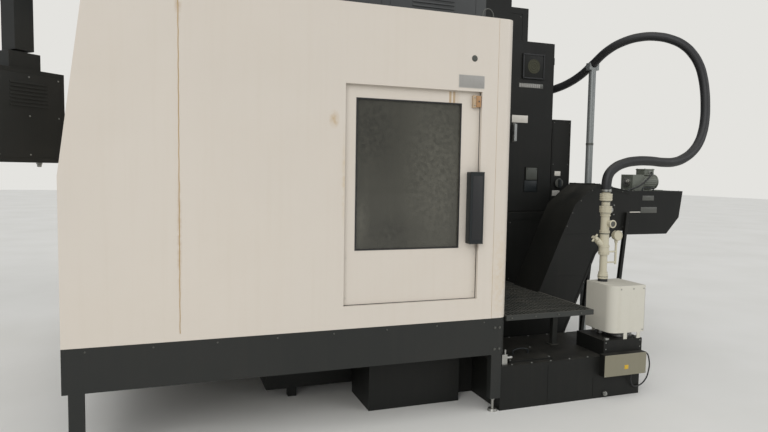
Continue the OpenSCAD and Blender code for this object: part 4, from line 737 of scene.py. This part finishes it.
def dress_cabinet():
    door = "cabinet_door"
    settle(frame_strip((802, 1185, 2364), (1016, 1192.4, 2576), 9, 1, 2.5), "fan_cover_frame", RUBBER,
        door)
    plate("fan_cover_plate", (809, 1188.4, 2371), (1009, 1192, 2569), "black_paint", door, 1)
    rings = [(61, 0), (61, 2), (57, 0.8), (55, -1.4), (46, 0), (44, 1.6), (36, 0), (34, -1.6), (26, 0),
        (24, 1.6), (16, 0), (14, -1.6), (6, 0)]
    settle(turned((909, 1188.6, 2470), NEAR, rings, 40), "fan_filter", "filter_mat", door)
    screws("fan_cover_screws", grid([812, 1006], [1185], [2374, 2566]), radius=4, body=door,
        finish=PLASTIC)
    plate("cabinet_strip", (772, 1198, 2288), (1014, 1200.4, 2326), DARK, door, 0.6)
    settle(blocks(grid(range(778, 975, 19), [1197.2], [2292]), (14, 1.2, 30), 0.4, 1),
        "cabinet_strip_fields", "mid_plate", door)
    plate("cabinet_blank_plate", (716, 1198.6, 1989), (872, 1200.3, 2051), "pale_plate", door, 0.5)
    plate("cable_flap", (871, 1194, 1500), (983, 1206, 1606), "grey_green", door, 5)
    plate("cable_flap_lower", (858, 1197, 1397), (984, 1208, 1494), PLASTIC, door, 4)
    screws("flap_screws", grid([882, 972], [1194], [1594]), radius=4, body=door, finish=PLASTIC)
    settle(turned((741, 1200, 1903), NEAR, [(17, 0), (17, 3), (13, 3), (12, 1)], 24), "latch_rosette",
        PLASTIC, door)
    plate("latch_backplate", (727, 1197.6, 1822), (755, 1200.3, 1986), DARK, door, 1.2)
    settle(rounds(grid([1123], [1208], [1400, 1950, 2500]), UP, [(3.4, 0), (6, 2), (6, 56), (3.4, 2)], 16),
        "hinge_barrels", "black_paint")
    screws("pedestal_screws", grid([730, 1112], [1200], [160, 640, 1130]), finish=DARK)
    settle(joined([louvre((800, 1200, z), 250) for z in range(260, 520, 26)]), "pedestal_louvres",
        "black_paint")
    side = [turn_about(louvre((1127, 1460, z), 170), (1127, 1460, 0), 90) for z in range(2380, 2580, 26)]
    settle(joined(side), "cabinet_side_louvres", "black_paint")
    plate("switch_blank_plate", (1164, 1198.6, 1539), (1224, 1200.3, 1579), "pale_plate", edge=0.5)
    plate("switch_lower_plate", (1144, 1198.6, 1362), (1222, 1200.3, 1409), "blank_plate", edge=0.5)
    settle(turned((1205, 1186.3, 1475), NEAR, [(36, 0), (40, 0), (40, 2), (36, 0.8)]), "main_switch_ring",
        DARK, "main_switch")
    screws("switch_box_screws", grid([1144, 1300], [1200], [1250, 1640, 2004]), finish=DARK)
    cable("switch_feed", [(1222, 1400, 2029), (1222, 1400, 2080), (1216, 1440, 2150), (1180, 1560, 2200),
        (1160, 1690, 2210), (1160, 1764, 2210)], 14)
    gland = [(20, 0), (20, 9), (16, 2), (16, 12), (14.5, 3)]
    settle(turned((1222, 1400, 2029), UP, gland, 6), "switch_gland", ZINC, angle=25)
    settle(turned((1160, 1765, 2210), NEAR, gland, 6), "housing_gland", ZINC, angle=25)


# Rear and upper housings

def pull(spot, high, facing):
    """A recessed pull: a flat lip with a finger ledge behind it, facing -Y until it is turned."""
    x, y, z = spot
    lip = slab((x, y - 2, z), (x + 50, y + 1, z + high))
    ledge = slab((x + 34, y - 16, z + 14), (x + 42, y, z + high - 14), 2)
    nose = slab((x + 12, y - 18, z + 14), (x + 42, y - 13, z + high - 14), 2)
    return turn_about(joined([lip, ledge, nose]), spot, facing)


def dress_housings():
    heights = [*range(1900, 2200, 30), *range(420, 660, 30)]
    settle(joined([turn_about(louvre((REAR_X, y, z), 420), (REAR_X, y, 0), 90) for y in (2010, 2810)
        for z in heights]), "rear_louvres", "black_paint")
    settle(joined([pull((REAR_X, y, 1205), 130, 90) for y in (2470, 2700)]), "rear_door_pulls", PLASTIC)
    hinge = [(7, 0), (9, 1), (9, 78), (7, 1)]
    settle(rounds(grid([REAR_X + 5], [1872, 3410], [480, 1240, 2100]), UP, hinge, 16), "rear_door_hinges",
        "black_paint")
    screws("rear_cover_screws", grid([REAR_X], [1830, 2600, 3450], range(2420, 3080, 210)), REAR, 6,
        finish=DARK)
    hex_bolts("rear_base_bolts", grid([REAR_X], range(1850, 3450, 260), [150]), REAR, 9)
    plate("rear_blank_plate", (REAR_X - 0.2, 2150, 1560), (REAR_X + 1.4, 2290, 1650))
    screws("roof_cover_screws", grid([-1350, -1070, -790, -670, -390, -110], [400], [2600, 3030]), radius=6,
        finish=DARK)
    settle(joined([louvre((x, 400, z), 300) for x in (-1220, -540) for z in range(2640, 2860, 26)]),
        "roof_cover_louvres", "housing_paint")
    screws("step_cover_screws", grid([785, 1120], [1765], [2745, 3035]), radius=6, finish=DARK)
    plate("air_unit_bracket", (1205, 1930, 1010), (1209, 2190, 1130), ZINC, edge=1)
    bowl = [(26, 0), (30, 4), (30, 40), (20, 6), (20, 8), (27, 4), (27, 78), (20, 6), (6, 3)]
    for k in range(3):
        settle(turned((1246, 1970 + 80 * k, 1118), DOWN, bowl, 28), "air_filter_bowl_%d" % (k + 1),
            DARK if k else "lamp_lens")
    settle(blocks(grid([1207], [1942, 2022, 2102], [1082]), (64, 56, 40), 5), "air_unit_blocks",
        "motor_paint")
    cable("air_line", [(1246, 2158, 1122), (1246, 2158, 1160), (1244, 2190, 1200), (1230, 2230, 1215),
        (1206, 2240, 1215)], 7)


# Coolant unit

def dress_coolant_unit():
    screws("lid_screws", grid(range(60, 740, 150), [24], [295]) + grid(range(60, 1080, 170), [622], [295])
        + grid([-18], [120, 330, 540], [295]), UP, 6)
    screws("hatch_screws", grid([78, 382], [78, 312], [307]), UP, 6)
    arc = [(170, 306), (172, 330), (186, 338), (274, 338), (288, 330), (290, 306)]
    cable("hatch_handle", [(x, 195, z) for x, z in arc], 5, PLASTIC, sides=3)
    screws("base_screws", grid([800, 1094], [10.3], [340, 386]), radius=4)
    screws("pump_cover_screws", [(913, 10.3, 757), (1020, 10.3, 757), (1108, 10.3, 757), (1108, 10.3, 462)])
    plate("cover_seam", (1119, 10, 448), (1123.2, 12, 778), edge=0.4)
    # The terminal box is black with a khaki face, which is set back to leave room for its screws
    box = DRESSED["terminal_box"]
    box.data.materials.clear()
    box.data.materials.append(FINISH["black_paint"])
    box.data.materials.append(FINISH["khaki_plate"])
    for face in box.data.polygons:
        face.material_index = 1 if face.center.y < mm(0, -48.5, 0).y and face.normal.y < -0.5 else 0
    take(box)
    edit_where(box, lambda place: place.y < mm(0, -47.9, 0).y)
    bpy.ops.transform.translate(value=(0, 0.0026, 0))
    done()
    screws("terminal_screws", grid([757, 1097], [-47.1], [171, 307]), radius=3.5)
    plate("terminal_blank_tag", (918, -48.3, 207), (951, -47.2, 236), "yellow_ring", edge=0.3)
    cable("terminal_lead", [(1104, -12, 300), (1135, -12, 296), (1166, -10, 240), (1170, -6, 165),
        (1145, -2, 95), (1090, 0, 58), (1040, -2, 62), (1012, -8, 105), (1008, -14, 160)], 5)
    settle(turned((800, -4, 30), NEAR, [(15, 0), (15, 3), (10, 1), (10, 7), (7, 1)], 6), "drain_plug",
        ZINC, angle=25)
    settle(blocks(grid([800, 1060], [16], [401]), (30, 22, 14), 2), "base_clips", ZINC)
    # The upright pipe's ribbed nuts, the gauge and the small valve beside it
    heights = {42: (1284, 1296, 1308, 1320, 1371, 1384, 1397, 1410), 34: (1133, 1143, 1256, 1270, 806, 820),
        37: (978, 990, 1030)}
    ribs = [turned((RISER_X, RISER_Y, z), UP, [(r - 1, 0), (r + 4, 1.5), (r + 4, 6), (r - 1, 1.5)], 10)
        for r in heights for z in heights[r]]
    settle(joined(ribs), "pipe_nut_ribs", "cream_pvc", angle=25)
    joints = ((1358, 33.5), (1275, 35.5), (1126, 36), (1031, 38.5), (812, 36.5))
    settle(joined([turned((RISER_X, RISER_Y, z), UP, [(r - 2, 0), (r, 0), (r, 5), (r - 2, 0)])
        for z, r in joints]), "pipe_joint_rings", "grey_green")
    settle(turned((941, 164.5, 1202), NEAR, [(17, 0), (29, 0), (29, 7), (26, 2), (21, 0), (20, -6)], 28),
        "port_rim", "cream_pvc")
    # A thin dark disc closing the port's opening: painted shade of the hole inside
    settle(turned((941, 161.6, 1202), NEAR, [(16, 0), (19.4, 0), (19.4, 0.8)], 28), "port_opening_painted_shade", DARK)
    settle(turned((1032, 211.5, 1113), NEAR, [(34, 0), (37, 0), (37, 9), (33, 3), (31, -4)], 40),
        "gauge_bezel", "cream_pvc")
    settle(turned((1032, 209.8, 1113), NEAR, [(31, 0), (31, 0.8), (30, 0.4)], 40), "gauge_dial",
        "dial_face")
    inner, outer = (ring((1032, 208.6, 1113), radius, range(-50, 240, 28), 0, 2) for radius in (23, 28))
    ticks = [bar(start, end, 1.2, 0.5, 0) for start, end in zip(inner, outer)]
    needle = bar((1037, 208.2, 1106), (1018, 208.2, 1133), 2.2, 0.6, 0)
    settle(joined(ticks + [needle]), "gauge_marks", PLASTIC)
    settle(bar((819.5, 225, 1072.1), (863.5, 225, 1124.1), 13, 12, 3), "valve_bar", "cream_pvc",
        "valve_knob")


# Chip conveyor

def dress_conveyor():
    near, far = 670, 1030
    ridge = [(895, 1100), (992, 1311), (1096, 1400), (1199, 1475), (1532, 1416)]
    keel = [(843, 74), (1137, 741), (1207, 903), (1310, 1020), (1532, 1149)]
    edges = [(x0 - drop * 0.4, z0 + drop, x1 - drop * 0.4, z1 + drop)
        for line, drop in ((ridge, -11), (keel, 11)) for (x0, z0), (x1, z1) in zip(line, line[1:])]
    rims = [bar((x0, y + 2, z0), (x1, y + 2, z1), 18, 4) for y in (near - 4, far)
        for x0, z0, x1, z1 in edges]
    settle(joined(rims), "casing_rims", "black_paint")
    spots = []
    for x0, z0, x1, z1 in edges:
        count = max(1, round(hypot(x1 - x0, z1 - z0) / 150))
        shares = [(k + 0.5) / count for k in range(count)]
        spots += [(x0 + (x1 - x0) * share, near - 4, z0 + (z1 - z0) * share) for share in shares]
    screws("casing_rim_screws", spots, finish=DARK)
    bearing = [(62, 0), (62, 8), (46, 3), (44, 10), (30, 3), (28, -4)]
    settle(turned((1330, near, 1270), NEAR, bearing), "head_bearing", "black_paint")
    hex_bolts("head_bearing_bolts", ring((1330, near - 8, 1270), 53, range(45, 360, 90), 0, 2), NEAR, 5)
    settle(blocks(grid([1346], [642, 1032], [0]), (60, 26, 6)), "leg_feet", "charcoal_paint")
    plate("hood_upper_plate", (1689, 698.8, 1345), (1810, 700.3, 1385), DARK, edge=0.5)
    plate("hood_lower_plate", (1676, 698.8, 1240), (1846, 700.3, 1289), DARK, edge=0.5)
    plate("hood_bright_strip", (1560, 694, 1244), (1670, 700.3, 1252), "pale_plate", edge=1)
    settle(frame_strip((1524, 690, 1052), (1532, 1010, 1434), 14, 0, 1), "hood_flange", "charcoal_paint")
    hex_bolts("hood_flange_bolts", grid([1524], [697, 1003], [1110, 1200, 1290, 1380]), FRONT, 6,
        finish=DARK)
    screws("hood_lid_screws", grid([1560, 1600, 2000, 2090], [716, 984], [1425]), UP)
    arc = [(1700, 1424), (1702, 1446), (1716, 1452), (1800, 1452), (1814, 1446), (1816, 1424)]
    cable("hood_handle", [(x, 718, z) for x, z in arc], 5, PLASTIC, sides=3)
    # Drive motor: cooling fins, fan cowl, terminal box and its lead
    axis_y, axis_z = 850, 1500
    around = [angle for angle in range(0, 360, 15) if angle not in (75, 90, 105)]
    feet = ring((1786, axis_y, axis_z), 63, around, 1, 2)
    settle(joined([bar(foot, (1912, *foot[1:]), 7, 3, 0.5) for foot in feet]), "motor_fins", "motor_paint")
    cowl = [(62, 0), (65, 2), (65, 12), (52, 6), (40, 0), (38, -3), (12, 0)]
    settle(turned((1920, axis_y, axis_z), REAR, cowl, 36), "motor_cowl", "motor_paint")
    output = [(44, 0), (44, 6), (30, 0), (30, 8), (18, 0), (18, 10)]
    settle(turned((1650, axis_y, axis_z), FRONT, output, 30), "gearbox_output", "steel")
    hex_bolts("gearbox_bolts", grid([1665, 1755], [790, 910], [1433]), UP, 6)
    plate("motor_terminal_lid", (1786, 796, 1601), (1894, 904, 1611), "motor_paint", edge=3)
    screws("motor_terminal_screws", grid([1796, 1884], [806, 894], [1611]), UP, 4)
    settle(turned((1840, 800, 1582), NEAR, [(13, 0), (13, 8), (10, 2), (10, 10), (7, 3)], 6), "motor_gland",
        ZINC, angle=25)
    cable("motor_lead", [(1840, 782, 1582), (1838, 764, 1576), (1800, 752, 1540), (1700, 745, 1470),
        (1600, 730, 1440), (1560, 712, 1436), (1545, 706, 1420)], 7)
    screws("chain_guard_screws", grid([1254, 1460], [1044], [1190, 1462]), FAR)
    hex_bolts("lid_ridge_bolts", [(x, y, 1483 - (x - 1200) * 0.178) for x in (1240, 1360, 1480)
        for y in (690, 1010)], UP, 7)


# Step platform

def dress_platform():
    rods = blocks(grid([8], range(30, 1159, 24), [620]), (658, 4, 8), 0.8, 1)
    settle(rods, "grating_cross_rods", "charcoal_paint")
    hex_bolts("platform_bolts", grid([40, 220, 400, 580], [9.6], [612]), NEAR, 5, finish=DARK)
    settle(blocks([(585, 1075, 0), (585, 335, 295)], (70, 70, 6), 1.5), "platform_feet", "charcoal_paint")


# Inside the work area

SPINDLE_Y, SPINDLE_Z = 1860, 1450


def dress_work_area():
    nozzle = [(9, 0), (9, 14), (6, 4), (6, 10), (3, 3)]
    spots = ring((-176, SPINDLE_Y, SPINDLE_Z), 110, range(30, 360, 60), 1, 2)
    settle(rounds(spots, FRONT, nozzle, 12), "coolant_nozzles", "brass", "spindle_head")
    flange = [(84, 0), (128, 1), (128, 8), (84, 3), (80, -6)]
    settle(turned((-175, SPINDLE_Y, SPINDLE_Z), FRONT, flange, 48), "spindle_flange", "cast_iron",
        "spindle_head")
    hex_bolts("flange_screws", ring((-184, SPINDLE_Y, SPINDLE_Z), 96, range(0, 360, 45), 1, 2), FRONT, 6,
        "spindle_head")
    plate("chamber_lamp", (-1500, 40, 2330), (-1020, 92, 2372), "lamp_lens", edge=5)
    settle(blocks([(-1518, 36, 2326), (-1020, 36, 2326)], (18, 58, 50), 4), "lamp_ends", PLASTIC)
    hex_bolts("saddle_bolts", grid([-780, -304], [1622, 2098], [800]), UP, 12, "table_saddle")
    hex_bolts("column_bolts", grid([198, 528], [1560, 2160], [2130]), UP, 14, "column")


# Operator pendant

PENDANT_X, PENDANT_Y, PENDANT_TURN = -2902, 835, 45


def pendant_part(piece, name, finish, angle=35):
    """Brings a piece that was modelled square to the machine's corner to its place on the pendant."""
    corner = Matrix.Translation(mm(0, 0, 0))
    there = Matrix.Translation((PENDANT_X / 1000, PENDANT_Y / 1000, 0))
    turn = Matrix.Rotation(radians(PENDANT_TURN), 4, "Z")
    piece.matrix_world = there @ corner @ turn @ corner.inverted() @ piece.matrix_world
    settle(piece, name, finish, "pendant_box", angle)


def dress_pendant():
    face = 90
    pendant_part(frame_strip((-184, face - 2, 1776), (184, face + 5, 2074), 16, 1, 2), "screen_bezel",
        PLASTIC)
    pendant_part(slab((-169, face - 4.2, 1791), (169, face - 2, 2059), 0.8), "screen", "screen_glass")
    keys = [(x - 8.5, face - 1, z - 8) for z in (1758, 1736, 1714, 1692) for x in range(-165, 40, 22)]
    pendant_part(blocks(keys, (17, 4, 16), 1.5, 1), "keypad", "pale_plate")
    keys = [(x - 11, face - 1, z - 10) for z in (1758, 1728) for x in range(70, 190, 28)]
    pendant_part(blocks(keys, (22, 5, 20), 2, 1), "mode_keys", DARK)
    pendant_part(turned((-150, face, 1660), FAR, [(33, 0), (33, 2), (31, 1), (24, 0)], 36), "stop_ring",
        "yellow_ring")
    button = [(21, 0), (21, 2.5), (18, 1.5), (16.5, 0)]
    pendant_part(rounds([(-60, face, 1660), (150, face, 1660)], FAR, button, 30), "button_rings", ZINC)
    pendant_part(turned((60, face, 1660), FAR, [(34, 0), (34, 0.6), (32, 0.3), (24, 0)], 36), "feed_scale",
        "dial_face")
    pendant_part(turned((150, face + 3, 1660), FAR, [(15, 0), (15, 6), (11, 1), (5, 0), (4, -3)], 24),
        "key_switch", ZINC)
    pendant_part(slab((-206, -face - 2.4, 1600), (206, -face + 0.4, 2090), 1.5), "pendant_back_cover",
        "skirt_paint")
    spots = grid([-192, 0, 192], [-face - 2.4], [1616, 1845, 2074])
    pendant_part(row_of(lambda spot: screw_head(spot, NEAR, 5), spots), "pendant_back_screws", ZINC)
    pendant_part(joined([louvre((-120, -face - 2.2, z), 240, 14, 5) for z in range(1900, 2040, 22)]),
        "pendant_louvres", "skirt_paint")
    arc = [(234, 1700), (258, 1704), (266, 1730), (266, 1940), (258, 1966), (234, 1970)]
    pendant_part(run([(x, -30, z) for x, z in arc], 9, 4), "pendant_grip", PLASTIC, 60)
    pendant_part(turned((120, 0, 1570), DOWN, [(17, 0), (17, 9), (13, 2), (13, 12), (9, 4)], 6),
        "pendant_gland", ZINC, 25)
    conduit = [(-2290, 500, 3010), (-2330, 530, 3018), (-2430, 588, 3018), (-2560, 662, 3018),
        (-2700, 743, 3018), (-2820, 806, 3016), (-2868, 826, 3004)]
    cable("arm_conduit", conduit, 14, RUBBER, "pendant_arm")
    settle(blocks([(-2437, 566, 2999), (-2687, 713, 2999)], (14, 44, 20), 2), "conduit_clips", ZINC,
        "pendant_arm")
    hex_bolts("post_foot_plate_bolts", ring((-2300, 500, 2524), 76, range(45, 360, 90), 0, 1), UP, 9)
    hex_bolts("arm_pivot_bolts", ring((-2300, 500, 3000), 58, range(0, 360, 90), 0, 1), UP, 7,
        "pendant_arm")


# Studio

def set_studio():
    scene = bpy.context.scene
    scene.view_settings.view_transform = "Standard"
    world = bpy.data.worlds.new("studio")
    world.use_nodes = True
    scene.world = world
    tree = world.node_tree
    tree.nodes.clear()
    path = add(tree, "LightPath").outputs
    rays = {0: path["Is Camera Ray"], 1: path["Is Transmission Ray"]}
    shown = add(tree, "Math", rays, operation="MAXIMUM").outputs[0]
    plain = add(tree, "Background", {"Color": "#e4e3df", "Strength": 1.0})
    soft = add(tree, "Background", {"Color": "#d8d9da", "Strength": 0.6})
    both = add(tree, "MixShader", {0: shown, 1: soft.outputs[0], 2: plain.outputs[0]})
    add(tree, "OutputWorld", {"Surface": both.outputs[0]})
    clear_selection()
    bpy.ops.mesh.primitive_plane_add(size=80)
    floor = bpy.context.object
    floor.name = floor.data.name = "shop_floor"
    material = bpy.data.materials.new("pale_floor")
    material.use_nodes = True
    tree = material.node_tree
    shader = tree.nodes["Principled BSDF"]
    tone = blend(tree, band(tree, grain(tree, 0.8, 4), 0.3, 0.7), "#dddcd7", "#e4e3df")
    tree.links.new(tone, shader.inputs["Base Color"])
    shader.inputs["Roughness"].default_value = 0.7
    floor.data.materials.append(material)
    set_lamp("overhead", (-1.2, -2.4, 7.5), 60, 0.8)
    set_lamp("key", (-4.5, -7.5, 5.2), 36, 1.0)
    set_lamp("rear_fill", (5.5, -5.5, 4.6), 36, 0.6)


for step in (fit_return_hose, dress_walls, dress_side_door, dress_front, dress_cabinet, dress_housings,
        dress_coolant_unit, dress_conveyor, dress_platform, dress_work_area, dress_pendant, set_viewpoint,
        set_studio):
    step()
